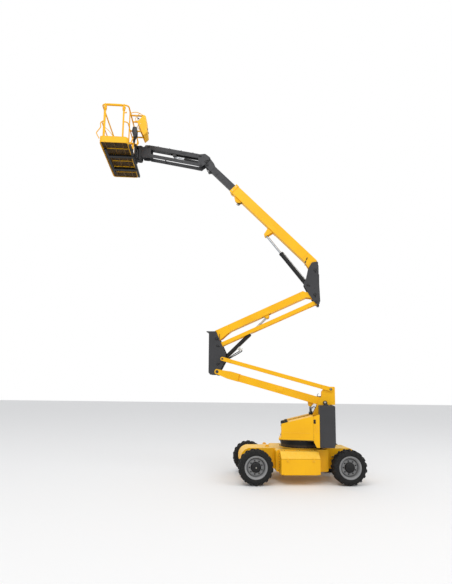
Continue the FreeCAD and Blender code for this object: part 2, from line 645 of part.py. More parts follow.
def make_mast():
    """Two mast plates that carry the arm and tie pins, tied across at the rear and foot."""
    foot = size("deck_height") + size("ring_height") + size("ring_gap") + size("turntable_height") \
        + size("floor_plate")
    rear, top = -size("mast_rear_x"), size("mast_top")
    pivot_x, pivot_z = size("riser_pivot_x"), size("riser_pivot_z")
    outline = [(pivot_x - 20, top, 40), (rear, top, 30), (rear, size("weight_top") + 6, 0),
               (-size("weight_front_x") - 230, size("weight_top") + 6, 0), (-size("weight_front_x") - 230, foot, 0),
               (-200, foot, 0), (-250, pivot_z - 440, 60), (pivot_x + 285, pivot_z - 240, 60),
               (pivot_x + 210, pivot_z - 95, 60), (pivot_x + 150, pivot_z + 80, 60), (pivot_x + 82, pivot_z + 165, 60),
               (pivot_x + 78, pivot_z + 270, 40)]
    plates = twin_plates("MastPlate", outline, "mast_plate", "mast_inner_y")
    width = "2 * mast_inner_y"
    web = block("MastWeb", "16", width, "mast_top - weight_top - 80",
                ("-mast_rear_x", "-mast_inner_y", "weight_top + 40"))
    foot_web = block("MastFootWeb", "16", width, f"weight_top - ({floor_z}) - floor_plate",
                     ("-weight_front_x - 230", "-mast_inner_y", f"{floor_z} + floor_plate"))
    outer_y = "mast_inner_y + mast_plate + pin_head"
    pins = [cross_pin("ArmPin", "pin_radius", outer_y, "riser_pivot_x", "riser_pivot_z"),
            cross_pin("LiftBasePin", "small_pin_radius", "mast_inner_y + mast_plate + pin_head", "lift_base_x",
                      "lift_base_z"),
            cross_pin("TiePin", "small_pin_radius", "mast_inner_y + mast_plate + plate_gap + tie_width + pin_head",
                      "riser_pivot_x + lower_tie_x", "riser_pivot_z + lower_tie_z")]
    return fuse("Mast", plates + [web, foot_web] + pins)


def make_counterweight():
    """Heavy casting across the rear, slotted in the middle for the mast, with chamfered rear edges."""
    rear, front = -size("weight_rear_x"), -size("weight_front_x")
    chamfer = size("weight_chamfer")
    foot, top = size("weight_foot"), size("weight_top")
    outline = [(front, foot, 0), (front, top, 12), (rear + chamfer, top, 0), (rear, top - chamfer, 0),
               (rear, foot + 90, 0), (rear + 30, foot, 0)]
    solid = plate("WeightBlock", outline, "2 * turret_half_width", "-turret_half_width")
    slot = block("WeightSlot", "weight_rear_x - weight_front_x", "2 * (mast_inner_y + mast_plate + pin_head + 8)",
                 "weight_top", ("-weight_rear_x + 110", "-(mast_inner_y + mast_plate + pin_head + 8)",
                                "weight_foot - 10"))
    return cut("Counterweight", solid, slot)


def cover_profile(inset, foot_inset):
    """Side outline of a turret cover with its front foot, drawn smaller by an inset."""
    foot = size("deck_height") + size("ring_height") + size("ring_gap") + size("turntable_height") \
        + size("floor_plate") + size("seat_gap")
    front, rear, lip = size("cover_front_x"), -size("cover_rear_x"), foot + size("cover_lip_height")
    brow, crown = size("cover_brow_z"), size("cover_crown_z")
    face = front - size("cover_lip")
    slope = (crown - brow) / (face - rear)
    return [(front - inset, foot + foot_inset, 0), (front - inset, lip - inset, 0),
            (face - inset, lip + 14 - inset, 0), (face - inset, brow - inset, max(34 - inset, 6)),
            (rear + inset, crown - inset - slope * inset, max(20 - inset, 4)), (rear + inset, foot + foot_inset, 0)]


def crown_wedge(name, side, inset):
    """Long bar turned to cut the sloped edge along a cover's crown, moved inwards by an inset."""
    face, rear = size("cover_front_x") - size("cover_lip"), -size("cover_rear_x")
    rise = size("cover_crown_z") - size("cover_brow_z")
    pitch = math.degrees(math.atan2(rise, face - rear))
    depth = size("cover_bevel") + inset * math.sqrt(2)
    bar = block(name, "1100", f"2 * {depth} + 120", "100", ("0", "0", "0"))
    along = Placement(Vector(rear - 150, side * size("turret_half_width"),
                             size("cover_crown_z") + 150 * rise / (face - rear)), Rotation(Y_AXIS, pitch))
    across = Placement(Vector(0, side * (-depth - 40), 40), Rotation(X_AXIS, -45 if side > 0 else 225))
    lift = Placement(Vector(0, 0, -100 if side < 0 else 0), Rotation())
    bar.Placement = along * across * lift
    return bar


def make_cover(name, side):
    """Turret side cover: a pressed skin, open below and towards the mast."""
    inner = "cover_inner_y" if side > 0 else "-turret_half_width"
    skin = size("cover_skin")
    outer = plate(name + "Outer", cover_profile(0, 0), "turret_half_width - cover_inner_y", inner)
    hollow_start = "cover_inner_y - 10" if side > 0 else "-turret_half_width + cover_skin"
    hollow = plate(name + "Hollow", cover_profile(skin, -10), "turret_half_width - cover_inner_y - cover_skin + 10",
                   hollow_start)
    shell = cut(name + "Shell", cut(name + "Bevelled", outer, crown_wedge(name + "Wedge", side, 0)),
                cut(name + "Inside", hollow, crown_wedge(name + "InsideWedge", side, skin)))
    axis_y, axis_z = f"{side} * (cover_inner_y + hinge_radius)", "cover_crown_z - hinge_drop"
    barrel = cylinder(name + "HingeBarrel", "hinge_radius", "60", ("-cover_rear_x + 6", axis_y, axis_z), ALONG_X)
    bore = cylinder(name + "HingeBore", "hinge_pin_radius + pin_clearance", "80", ("-cover_rear_x - 4", axis_y, axis_z),
                    ALONG_X)
    return cut(name, fuse(name + "Hinged", [shell, barrel]), bore)


def make_power_block(name, side):
    """Plain block for the pump motor and tank under a cover."""
    y = "cover_inner_y + 60" if side > 0 else "-cover_inner_y - 60 - 380"
    return block(name, "480", "380", "240", ("-200", y, f"{floor_z} + floor_plate"))


def make_side_pillar(name, side):
    """Upright plate between a cover and the counterweight, with its slanted foot."""
    front, rear = -size("cover_rear_x") - size("cover_gap"), -size("pillar_rear_x")
    outline = [(front, size("weight_foot") + 120, 0), (front, size("cover_crown_z") - 10, 10),
               (rear, size("cover_crown_z") + 40, 10), (rear, size("pillar_foot"), 0),
               (rear + 70, size("pillar_foot"), 10)]
    start = "turret_half_width - pillar_thickness" if side > 0 else "-turret_half_width"
    skin = plate(name + "Skin", outline, "pillar_thickness", start)
    rib_y = "mast_inner_y + mast_plate" if side > 0 else "-turret_half_width + pillar_thickness"
    rib = block(name + "Rib", "12", "turret_half_width - pillar_thickness - mast_inner_y - mast_plate",
                f"cover_crown_z - ({floor_z}) - floor_plate",
                ("-pillar_rear_x", rib_y, f"{floor_z} + floor_plate"))
    hinge_pin = cylinder(name + "HingePin", "hinge_pin_radius", "pillar_rear_x - cover_rear_x + 64",
                         ("-pillar_rear_x", f"{side} * (cover_inner_y + hinge_radius)", "cover_crown_z - hinge_drop"),
                         ALONG_X)
    return [skin, rib, hinge_pin]


node("turntable", make_turntable(), plane)
node("mast", make_mast(), plane)
node("counterweight", make_counterweight(), plane)
node("side_pillars", fuse("SidePillars", make_side_pillar("PillarNear", 1) + make_side_pillar("PillarFar", -1)),
     plane)
node("cover_near", make_cover("CoverNear", 1), plane)
node("cover_far", make_cover("CoverFar", -1), plane)
power_blocks = doc.addObject("Part::Compound", "PowerBlocks")
power_blocks.Links = [make_power_block("PowerNear", 1), make_power_block("PowerFar", -1)]
node("power_units", power_blocks, plane)


# Cylinders
def frame_point(frame, along, up):
    return frame.multVec(Vector(along, 0, up))


def make_ram(label, base, eye, sizes, base_width, eye_width):
    """Barrel and rod of a hydraulic cylinder between two points.

    sizes holds the aliases' prefix. The barrel swings on its base pin, and the rod's eye carries its own pin.
    """
    radius, rod = f"{sizes}_barrel_radius", f"{sizes}_rod_radius"
    length = f"{sizes}_barrel_length"
    direction = plane.inverse().Rotation.multVec(eye - base)
    pitch = math.degrees(math.atan2(direction.z, direction.x))
    span = direction.Length
    start = plane.inverse().multVec(base)
    frame = shifted(plane, start.x, start.z, pitch)
    name = label.title().replace("_", "")
    eye_radius = "small_pin_radius + 14"
    tube = cylinder(name + "Tube", radius, f"{length} - 10", ("10", "0", "0"), ALONG_X)
    collar = cylinder(name + "Collar", f"{radius} + 4", "50", (f"{length} - 50", "0", "0"), ALONG_X)
    boss = cross_pin(name + "Boss", eye_radius, base_width, "0", "0")
    bore = cylinder(name + "Bore", f"{rod} + pin_clearance", length, ("70", "0", "0"), ALONG_X)
    base_bore = cross_pin(name + "BaseBore", "small_pin_radius + pin_clearance", f"{base_width} + 60", "0", "0")
    barrel = cut(name + "Barrel", fuse(name + "BarrelSolid", [tube, collar, boss]),
                 fuse(name + "BarrelBores", [bore, base_bore]))
    node(label + "_barrel", barrel, frame)
    shaft = cylinder(name + "Shaft", rod, f"{sizes}_rod_length", (f"{span} - {sizes}_rod_length", "0", "0"),
                     ALONG_X)
    rod_eye = cross_pin(name + "RodEye", eye_radius, eye_width, f"{span}", "0")
    rod_pin = cross_pin(name + "RodPin", "small_pin_radius", f"{eye_width} + plate_gap / 2", f"{span}", "0")
    node(label + "_rod", fuse(name + "Rod", [shaft, rod_eye, rod_pin]), frame)


def clevis(name, along, up, root_up, gap, thickness=18, reach=52):
    """Two lugs from a tube's face to a cylinder's eye, with a pin head outside each."""
    outline = [(along - 1.5 * reach, root_up, 0), (along - 0.6 * reach, up - 0.8 * reach, 0.5 * reach),
               (along + 0.6 * reach, up - 0.8 * reach, 0.5 * reach), (along + 1.5 * reach, root_up, 0)]
    lugs = twin_plates(name, outline, f"{thickness}", f"{gap}")
    heads = [cylinder(name + "HeadNear", "small_pin_radius + 8", "pin_head",
                      (f"{along}", f"{gap} + {thickness}", f"{up}"), ALONG_Y),
             cylinder(name + "HeadFar", "small_pin_radius + 8", "pin_head",
                      (f"{along}", f"-({gap} + {thickness}) - pin_head", f"{up}"), ALONG_Y)]
    return lugs + heads


# Lower arm, its tie bars and the middle knuckle
def make_lower_arm():
    """Box arm: a boss between the mast plates, and fork ears outside the middle knuckle."""
    tube = box_tube("LowerTube", "90", "lower_arm_length - 290", "lower_arm_height", "lower_arm_half_width",
                    "tube_wall")
    half = size("lower_arm_height") / 2
    length = size("lower_arm_length")
    ear = [(length - 580, -half - 6, 0), (length - 300, -half - 6, 60), (length - 60, -68, 30),
           (length + 66, -64, 60), (length + 66, 64, 60), (length - 60, 68, 30), (length - 330, half + 6, 60),
           (length - 580, half + 6, 0)]
    ears = twin_plates("LowerEar", ear, "ear_plate", "knuckle_inner_y + knuckle_plate + plate_gap",
                       [(length, 0, pin_bore)])
    packing = [(length - 580, -half - 6, 0), (length - 300, -half - 6, 60), (length - 280, half + 6, 60),
               (length - 580, half + 6, 0)]
    packings = twin_plates("LowerPacking", packing, "knuckle_inner_y + knuckle_plate + plate_gap"
                           " - lower_arm_half_width", "lower_arm_half_width")
    cap = block("LowerCap", "12", "2 * lower_arm_half_width", "lower_arm_height",
                ("lower_arm_length - 300", "-lower_arm_half_width", "-lower_arm_height / 2"))
    root = [(-60, -60, 55), (150, -half, 30), (150, half, 30), (-60, 60, 55)]
    root_plates = twin_plates("LowerRoot", root, "ear_plate", "lower_arm_half_width - ear_plate")
    boss = cross_pin("LowerBoss", "pin_radius + 22", "lower_arm_half_width", "0", "0")
    bore = cross_pin("LowerBore", "pin_radius + pin_clearance", "lower_arm_half_width + 20", "0", "0")
    eye_lugs = clevis("LowerLug", size("lift_eye_along"), size("lift_eye_up"), -half + 2, 58)
    solid = fuse("LowerArmSolid", [tube, cap, boss] + ears + packings + root_plates + eye_lugs)
    return cut("LowerArm", solid, bore)


def make_tie(name, length, inner_y, spacers):
    """A pair of tie bars with an eye at each end, joined by tubes across where nothing passes."""
    pieces = []
    half = size("tie_height") / 2
    reach = size(length)
    eye = size("small_pin_radius") + 30
    outline = [(-eye, -eye, eye - 2), (160, -eye, 40), (230, -half, 60), (reach - 230, -half, 60),
               (reach - 160, -eye, 40), (reach + eye, -eye, eye - 2), (reach + eye, eye, eye - 2),
               (reach - 160, eye, 40), (reach - 230, half, 60), (230, half, 60), (160, eye, 40),
               (-eye, eye, eye - 2)]
    pieces += twin_plates(name + "Bar", outline, "tie_width", inner_y,
                          [(0, 0, small_bore), (reach, 0, small_bore)])
    for index, along in enumerate(spacers):
        pieces.append(cross_pin(f"{name}Spacer{index}", "18", inner_y, f"{along}", "0"))
    return fuse(name, pieces)


def make_middle_knuckle():
    """Two dark plates between the arms, webbed along their front edge."""
    outline = [(185, -78, 30), (232, -20, 30), (240, 1062, 20), (50, 1062, 20), (-215, 470, 60), (-214, 300, 60),
               (-76, 40, 50), (-70, -78, 30)]
    plates = twin_plates("MiddlePlate", outline, "knuckle_plate", "knuckle_inner_y")
    width = "2 * knuckle_inner_y"
    web = block("MiddleWeb", "14", width, "1020", ("215", "-knuckle_inner_y", "-20"))
    lip = block("MiddleLip", "70", "2 * (knuckle_inner_y + knuckle_plate)", "16",
                ("232", "-knuckle_inner_y - knuckle_plate", "1044"))
    plate_outer = "knuckle_inner_y + knuckle_plate"
    ear_outer = f"{plate_outer} + plate_gap + ear_plate + pin_head"
    tie_reach = "knuckle_plate + plate_gap + ear_plate + tie_width + pin_head"
    pins = [cross_pin("MiddleArmPin", "pin_radius", ear_outer, "0", "0"),
            cylinder("MiddleTiePinNear", "small_pin_radius", tie_reach,
                     ("lower_tie_x", "knuckle_inner_y", "lower_tie_z"), ALONG_Y),
            cylinder("MiddleTiePinFar", "small_pin_radius", tie_reach,
                     ("lower_tie_x", f"-knuckle_inner_y - ({tie_reach})", "lower_tie_z"), ALONG_Y),
            cross_pin("MiddleRamPin", "small_pin_radius", f"{plate_outer} + pin_head", "arm_ram_base_x",
                      "arm_ram_base_z"),
            cross_pin("MiddleUpperPin", "pin_radius", f"{plate_outer} + pin_head", "upper_pivot_x",
                      "upper_pivot_z"),
            cross_pin("MiddleUpperTiePin", "small_pin_radius", f"{plate_outer} + pin_head",
                      "upper_pivot_x + upper_tie_x", "upper_pivot_z + upper_tie_z")]
    return fuse("MiddleKnuckle", plates + [web, lip] + pins)


node("lower_arm", make_lower_arm(), lower_arm_frame)
node("lower_tie", make_tie("LowerTie", "lower_arm_length", "knuckle_inner_y + knuckle_plate + plate_gap"
                           " + ear_plate", (700, 1500)), lower_tie_frame)
make_ram("lower_lift", frame_point(plane, size("lift_base_x"), size("lift_base_z")),
         frame_point(lower_arm_frame, size("lift_eye_along"), size("lift_eye_up")), "lift", "60", "52")
node("middle_knuckle", make_middle_knuckle(), middle_frame)


# Upper arm, its tie bars and the upper knuckle
def make_upper_arm():
    """Box arm above its pins: side plates drop from the tube's ends to a boss at each pin."""
    length, half, lift = size("upper_arm_length"), size("upper_arm_height") / 2, size("upper_arm_lift")
    tube = box_tube("UpperTube", "-upper_arm_length + 240", "-90", "upper_arm_height", "upper_arm_half_width",
                    "tube_wall", "upper_arm_lift")
    cheek = [(54, -54, 52), (54, 50, 50), (-50, lift + half, 30), (-430, lift + half, 0), (-430, lift - half, 0),
             (-300, lift - half - 30, 60), (-125, -54, 60)]
    cheeks = twin_plates("UpperCheek", cheek, "ear_plate", "upper_arm_half_width - ear_plate")
    tail = [(-length + 330, lift + half, 0), (-length + 235, lift + half, 0), (-length + 175, lift + half - 60, 30),
            (-length - 54, 54, 52), (-length - 54, -54, 52), (-length + 90, -54, 50),
            (-length + 230, lift - half, 50), (-length + 330, lift - half, 0)]
    tails = twin_plates("UpperTail", tail, "ear_plate", "upper_arm_half_width - ear_plate")
    bosses = [cross_pin("UpperBossFoot", "pin_radius + 22", "upper_arm_half_width", "0", "0"),
              cross_pin("UpperBossHead", "pin_radius + 22", "upper_arm_half_width", "-upper_arm_length", "0")]
    bores = fuse("UpperBores", [cross_pin("UpperBoreFoot", "pin_radius + pin_clearance", "120", "0", "0"),
                                cross_pin("UpperBoreHead", "pin_radius + pin_clearance", "120",
                                          "-upper_arm_length", "0")])
    eye_lugs = clevis("UpperLug", -size("arm_ram_eye_along"), size("arm_ram_eye_up"), lift - half + 2, 54)
    slot = block("UpperSlot", "260", "104", "3 * tube_wall", ("-arm_ram_eye_along - 130", "-52",
                                                              "upper_arm_lift - upper_arm_height / 2 - tube_wall"))
    return cut("UpperArm", fuse("UpperArmSolid", [tube] + cheeks + tails + bosses + eye_lugs),
               fuse("UpperOpenings", [bores, slot]))


def make_upper_knuckle():
    """Two dark plates that carry the main boom and its cylinder above the upper arm."""
    outline = [(60, 852, 24), (-92, 866, 24), (-132, -180, 40), (-66, -282, 30), (46, -160, 30), (150, 16, 40),
               (290, 290, 50), (222, 415, 60), (160, 690, 60)]
    plates = twin_plates("UpperPlate", outline, "knuckle_plate", "knuckle_inner_y")
    web = block("UpperWeb", "14", "2 * knuckle_inner_y", "420", ("-116", "-knuckle_inner_y", "110"))
    outer = "knuckle_inner_y + knuckle_plate + pin_head"
    pins = [cross_pin("TopArmPin", "pin_radius", outer, "0", "0"),
            cross_pin("TopTiePin", "small_pin_radius", outer, "upper_tie_x", "upper_tie_z"),
            cross_pin("TopRamPin", "small_pin_radius", outer, "boom_ram_base_x", "boom_ram_base_z"),
            cross_pin("TopBoomPin", "pin_radius", outer, "boom_pivot_x", "boom_pivot_z")]
    return fuse("UpperKnuckle", plates + [web] + pins)


node("upper_arm", make_upper_arm(), upper_arm_frame)
node("upper_tie", make_tie("UpperTie", "upper_arm_length", "upper_tie_gap", (400, 1000)),
     ahead(upper_tie_frame, -size("upper_arm_length")))
make_ram("arm_lift", frame_point(middle_frame, size("arm_ram_base_x"), size("arm_ram_base_z")),
         frame_point(upper_arm_frame, -size("arm_ram_eye_along"), size("arm_ram_eye_up")), "arm_ram",
         "60", "48")
node("upper_knuckle", make_upper_knuckle(), top_frame)


# Main boom and extension
def make_main_boom():
    """Outer boom tube with its pivot cheeks, front collar and cylinder clevis."""
    tube = box_tube("BoomTube", "boom_rear", "boom_front", "boom_height", "boom_half_width", "tube_wall",
                    "boom_lift")
    lift, half = size("boom_lift"), size("boom_height") / 2
    cheek = [(-58, -58, 55), (165, lift - half - 48, 50), (340, lift - half, 60), (460, lift - half, 0),
             (460, lift + half, 0), (205, lift + half, 40), (30, lift + 30, 60), (-58, 60, 55)]
    cheeks = twin_plates("BoomCheek", cheek, "ear_plate", "boom_half_width - ear_plate")
    boss = cross_pin("BoomBoss", "pin_radius + 22", "boom_half_width", "0", "0")
    bore = cross_pin("BoomBore", "pin_radius + pin_clearance", "boom_half_width + 20", "0", "0")
    collar = box_tube("BoomCollar", "boom_front - 90", "boom_front", "boom_height + 24", "boom_half_width + 12",
                      "tube_wall + 12", "boom_lift")
    eye_lugs = clevis("BoomLug", size("boom_ram_eye_along"), size("boom_ram_eye_up"), lift - half + 2, 56, reach=60)
    return cut("MainBoom", fuse("MainBoomSolid", [tube, collar, boss] + cheeks + eye_lugs), bore)


def make_extension():
    """Telescopic section with the fork head that carries the level knuckle's pin."""
    tube = box_tube("ExtensionTube", "extension_rear", "extension_front", "extension_height",
                    "extension_half_width", "tube_wall", "boom_lift")
    lift, half = size("boom_lift"), size("extension_height") / 2
    along, up = size("level_pin_along"), size("level_pin_up")
    front = size("extension_front")
    cheek = [(front - 120, lift - half, 0), (along - 60, lift - half, 40), (along + 58, up - 62, 54),
             (along + 58, up + 62, 54), (along - 30, up + 146, 30), (front - 10, up + 120, 60),
             (front - 120, lift + half, 0)]
    cheeks = twin_plates("HeadCheek", cheek, "ear_plate", "extension_half_width - ear_plate")
    boss = cross_pin("HeadBoss", "pin_radius + 22", "extension_half_width", "level_pin_along", "level_pin_up")
    bore = cross_pin("HeadBore", "pin_radius + pin_clearance", "extension_half_width + 20", "level_pin_along",
                     "level_pin_up")
    pad_height = "boom_height / 2 - tube_wall - extension_height / 2 - pin_clearance"
    pads = [block("SlidePadTop", "120", "2 * extension_half_width", pad_height,
                  ("extension_rear + 20", "-extension_half_width", "boom_lift + extension_height / 2")),
            block("SlidePadFoot", "120", "2 * extension_half_width", pad_height,
                  ("extension_rear + 20", "-extension_half_width",
                   "boom_lift - boom_height / 2 + tube_wall + pin_clearance"))]
    return cut("Extension", fuse("ExtensionSolid", [tube, boss] + cheeks + pads), bore)


node("main_boom", make_main_boom(), boom_frame)
make_ram("boom_lift", frame_point(top_frame, size("boom_ram_base_x"), size("boom_ram_base_z")),
         frame_point(boom_frame, size("boom_ram_eye_along"), size("boom_ram_eye_up")), "boom_ram", "64", "50")
node("boom_extension", make_extension(), boom_frame)


# Jib
def make_level_knuckle():
    """Casting that hangs on the extension's pin and carries the jib and its links level."""
    px, pz = size("jib_pivot_x"), size("jib_pivot_z")
    kx, kz = px + size("link_back"), pz - size("link_drop")
    outline = [(8, -76, 30), (kx - 46, kz - 44, 30), (kx + 44, kz - 44, 40), (kx + 44, kz + 40, 40),
               (px + 46, pz - 60, 40), (px + 46, pz + 46, 44), (20, pz + 46, 60), (-138, 92, 30)]
    plates = twin_plates("LevelPlate", outline, "bracket_plate", "bracket_inner_y")
    web = block("LevelWeb", "14", "2 * bracket_inner_y", "90", ("jib_pivot_x - 92", "-bracket_inner_y", "60"))
    outer = "bracket_inner_y + bracket_plate"
    link_reach = "bracket_plate + plate_gap + link_width + pin_head"
    pins = [cross_pin("LevelPin", "pin_radius", f"{outer} + pin_head", "0", "0"),
            cross_pin("JibPin", "small_pin_radius", f"{outer} + pin_head", "jib_pivot_x", "jib_pivot_z"),
            cylinder("LinkPinNear", "small_pin_radius", link_reach, (f"{kx}", "bracket_inner_y", f"{kz}"), ALONG_Y),
            cylinder("LinkPinFar", "small_pin_radius", link_reach,
                     (f"{kx}", f"-bracket_inner_y - ({link_reach})", f"{kz}"), ALONG_Y),
            cross_pin("JibRamPin", "small_pin_radius", f"{outer}",
                      "jib_pivot_x + jib_ram_base_x", "jib_pivot_z + jib_ram_base_z")]
    return fuse("LevelKnuckle", [web] + plates + pins)


def make_jib_beam():
    """Jib beam, open below so that its cylinder can fold up into it."""
    half = size("jib_height") / 2
    length = size("jib_length")
    tube = box_tube("JibTube", "60", "jib_length - 60", "jib_height", "jib_half_width", "6")
    tips = []
    bores = []
    for index, along in enumerate(("0", "jib_length")):
        tips.append(cross_pin(f"JibBoss{index}", "small_pin_radius + 16", "jib_half_width", along, "0"))
        bores.append(cross_pin(f"JibBore{index}", "small_pin_radius + pin_clearance", "jib_half_width + 20",
                               along, "0"))
    for name, start, end in (("JibRoot", 0, 110), ("JibTip", length - 110, length)):
        outline = [(start, -half + 4, 0), (end, -half + 4, 0), (end, half - 4, 0), (start, half - 4, 0)]
        tips += twin_plates(name, outline, "16", "jib_half_width - 16")
    eye_lugs = clevis("JibLug", size("jib_ram_eye_along"), size("jib_ram_eye_up"), -half + 2, 46, 12, 44)
    channel = block("JibChannel", "jib_ram_eye_along + 90", "88", "20", ("50", "-44", "-jib_height / 2 - 10"))
    return cut("JibBeam", fuse("JibSolid", [tube] + tips + eye_lugs), fuse("JibOpenings", bores + [channel]))


def make_jib_links():
    """Pair of level links outside the brackets, with an eye at each end."""
    half = size("link_height") / 2
    length = size("jib_length")
    eye = size("small_pin_radius") + 25
    outline = [(-eye, -eye, eye - 2), (90, -eye, 40), (140, -half, 30), (length - 140, -half, 30),
               (length - 90, -eye, 40), (length + eye, -eye, eye - 2), (length + eye, eye, eye - 2),
               (length - 90, eye, 40), (length - 140, half, 30), (140, half, 30), (90, eye, 40),
               (-eye, eye, eye - 2)]
    bars = twin_plates("LinkBar", outline, "link_width", "bracket_inner_y + bracket_plate + plate_gap",
                       [(0, 0, small_bore), (length, 0, small_bore)])
    spacer = cross_pin("LinkSpacer", "14", "bracket_inner_y + bracket_plate + plate_gap", "jib_length - 480", "0")
    return fuse("JibLinks", bars + [spacer])


def make_end_bracket():
    """Level bracket at the jib's tip with the rotator's fixed housing."""
    kx, kz = size("link_back"), -size("link_drop")
    outline = [(-48, 48, 44), (-48, -50, 44), (kx - 44, kz + 44, 40), (kx - 44, kz - 44, 40), (kx + 90, kz - 44, 40),
               (225, -300, 30), (225, 0, 30), (60, 48, 44)]
    plates = twin_plates("EndPlate", outline, "bracket_plate", "bracket_inner_y")
    outer = "bracket_inner_y + bracket_plate"
    pins = [cross_pin("EndJibPin", "small_pin_radius", f"{outer} + pin_head", "0", "0"),
            cross_pin("EndLinkPin", "small_pin_radius", f"{outer} + plate_gap + link_width + pin_head",
                      "link_back", "-link_drop")]
    housing = cylinder("RotatorHousing", "rotator_radius", "rotator_top - rotator_foot",
                       ("rotator_x", "0", "rotator_foot"))
    neck = block("RotatorNeck", "rotator_x - 185", "2 * bracket_inner_y", "240",
                 ("185", "-bracket_inner_y", "-270"))
    bore = cylinder("RotatorBore", "pin_radius + pin_clearance", "rotator_top - rotator_foot + 80",
                    ("rotator_x", "0", "rotator_foot - 40"))
    return cut("EndBracket", fuse("EndSolid", plates + pins + [housing, neck]), bore)


node("level_knuckle", make_level_knuckle(), level_frame)
node("jib_beam", make_jib_beam(), jib_frame)
node("jib_links", make_jib_links(), link_frame)
make_ram("jib_lift", frame_point(level_frame, size("jib_pivot_x") + size("jib_ram_base_x"),
                                 size("jib_pivot_z") + size("jib_ram_base_z")),
         frame_point(jib_frame, size("jib_ram_eye_along"), size("jib_ram_eye_up")), "jib_ram", "50", "40")
node("jib_end_bracket", make_end_bracket(), end_frame)


# Basket
# Its frame's origin is on the rotator axis at floor level, and +X points away from the jib.
def make_yoke():
    """Yoke round the rotator, the cross bar and two arms under the basket floor."""
    low = "basket_drop + rotator_foot"
    high = "basket_drop + rotator_top"
    pieces = [cylinder("YokeLow", "rotator_radius", "20", ("0", "0", f"{low} - plate_gap - 20")),
              cylinder("YokeHigh", "rotator_radius", "20", ("0", "0", f"{high} + plate_gap")),
              cylinder("YokePin", "pin_radius", f"({high}) - ({low}) + 2 * plate_gap + 40",
                       ("0", "0", f"{low} - plate_gap - 20")),
              block("YokeTongueLow", "140", "140", "20", ("0", "-70", f"{low} - plate_gap - 20")),
              block("YokeTongueHigh", "140", "140", "20", ("0", "-70", f"{high} + plate_gap")),
              block("YokeBack", "60", "300", f"({high}) - ({low}) + 2 * plate_gap + 40",
                    ("rotator_radius + 10", "-150", f"{low} - plate_gap - 20")),
              block("CrossBar", "60", "2 * basket_half_width - 200", "70",
                    ("rotator_radius + 35", "-basket_half_width + 100", "-floor_thickness - 40"))]
    for index, y in enumerate((-440, 250)):
        pieces.append(block(f"FloorArm{index}", "basket_gap + basket_length - rotator_radius - 110", "90", "50",
                            ("rotator_radius + 40", f"{y}", "-floor_thickness - 50")))
    pieces.append(block("FloorBeam", "floor_beam", "2 * basket_half_width - 540", "50",
                        ("basket_gap + basket_length - 140", "-basket_half_width + 270", "-floor_thickness - 50")))
    return fuse("Yoke", pieces)


def rounded_tray(name, inset, foot, height):
    """Upright slab over the basket's floor with rounded corners, drawn smaller by an inset."""
    back, half, corner = size("basket_gap") + inset, size("basket_half_width") - inset, size("rail_corner") - inset
    front = size("basket_gap") + size("basket_length") - inset
    body = doc.addObject("PartDesign::Body", name)
    pad = body.newObject("PartDesign::Pad", name + "Pad")
    pad.Profile = sketch_on(body, "XY_Plane", outline_edges(
        [(back, -half, corner), (front, -half, corner), (front, half, corner), (back, half, corner)]))
    bind(pad, Length=height)
    seat(body, ("0", "0", foot))
    return body


def make_basket_floor():
    """Floor tray with toe boards round all sides, and pockets between the ribs below."""
    skin = size("toe_skin")
    tray = rounded_tray("FloorTray", 0, "-floor_thickness", "floor_thickness + toe_board")
    hollow = rounded_tray("FloorHollow", skin, "0", "toe_board + 10")
    below = rounded_tray("FloorBelow", skin, "-floor_thickness - 10", "floor_thickness - floor_sheet + 10")
    pitch = "(2 * basket_half_width - toe_skin) / floor_bays"
    bays = [block(f"FloorBay{bay}", "basket_length", f"{pitch} - toe_skin", "2 * floor_thickness",
                  ("basket_gap", f"-basket_half_width + toe_skin + {bay} * {pitch}", "-2 * floor_thickness"))
            for bay in range(int(size("floor_bays")))]
    pockets = doc.addObject("Part::Common", "FloorPockets")
    pockets.Base = below
    pockets.Tool = fuse("FloorBays", bays)
    return cut("BasketFloor", tray, fuse("FloorHollows", [hollow, pockets]))


back_x = "basket_gap + toe_skin + entry_post_radius"
front_x = "basket_gap + basket_length - toe_skin - entry_post_radius"
side_y = "basket_half_width - toe_skin - entry_post_radius"
edge_inset = size("toe_skin") + size("entry_post_radius")
basket_front = size("basket_gap") + size("basket_length")


def swept_rail(name, z, radius):
    """A bent tube round the basket at one height, open between the entry posts."""
    back = size("basket_gap") + edge_inset
    front = basket_front - edge_inset
    side = size("basket_half_width") - edge_inset
    bend = size("rail_corner")
    route = [(size("entry_near_x"), side, 0), (back, side, bend), (back, -side, bend), (front, -side, bend),
             (front, side, bend), (size("entry_far_x"), side, 0)]
    path = doc.addObject("Sketcher::SketchObject", name + "Path")
    for edge in outline_edges(route, closed=False):
        path.addGeometry(edge, False)
    seat(path, ("0", "0", z))
    section = doc.addObject("Part::Circle", name + "Section")
    bind(section, Radius=radius)
    seat(section, ("entry_near_x", side_y, z), ALONG_X)
    doc.recompute()
    rail = doc.addObject("Part::Sweep", name)
    rail.Sections = [section]
    rail.Spine = (path, [f"Edge{index + 1}" for index in range(len(path.Shape.Edges))])
    rail.Solid = True
    rail.Frenet = False
    return [rail]


def make_basket_rails():
    """Top and middle rails, corner posts and the two entry posts, as one welded frame."""
    pieces = swept_rail("TopRail", "rail_height - rail_radius", "rail_radius")
    pieces += swept_rail("MidRail", "mid_rail_height", "mid_rail_radius")
    posts = [("entry_near_x", side_y, "entry_post_radius"), ("entry_far_x", side_y, "entry_post_radius"),
             (back_x, f"{side_y} - 240", "post_radius"), (back_x, f"-({side_y}) + 240", "post_radius"),
             (front_x, f"{side_y} - 240", "post_radius"), (front_x, f"-({side_y}) + 240", "post_radius"),
             ("entry_near_x", f"-({side_y})", "post_radius"), ("entry_far_x", f"-({side_y})", "post_radius")]
    for index, (x, y, radius) in enumerate(posts):
        height = "rail_height + post_cap" if index < 2 else "rail_height - rail_radius"
        pieces.append(cylinder(f"Post{index}", radius, height, (x, y, "0")))
    return fuse("BasketRails", pieces)


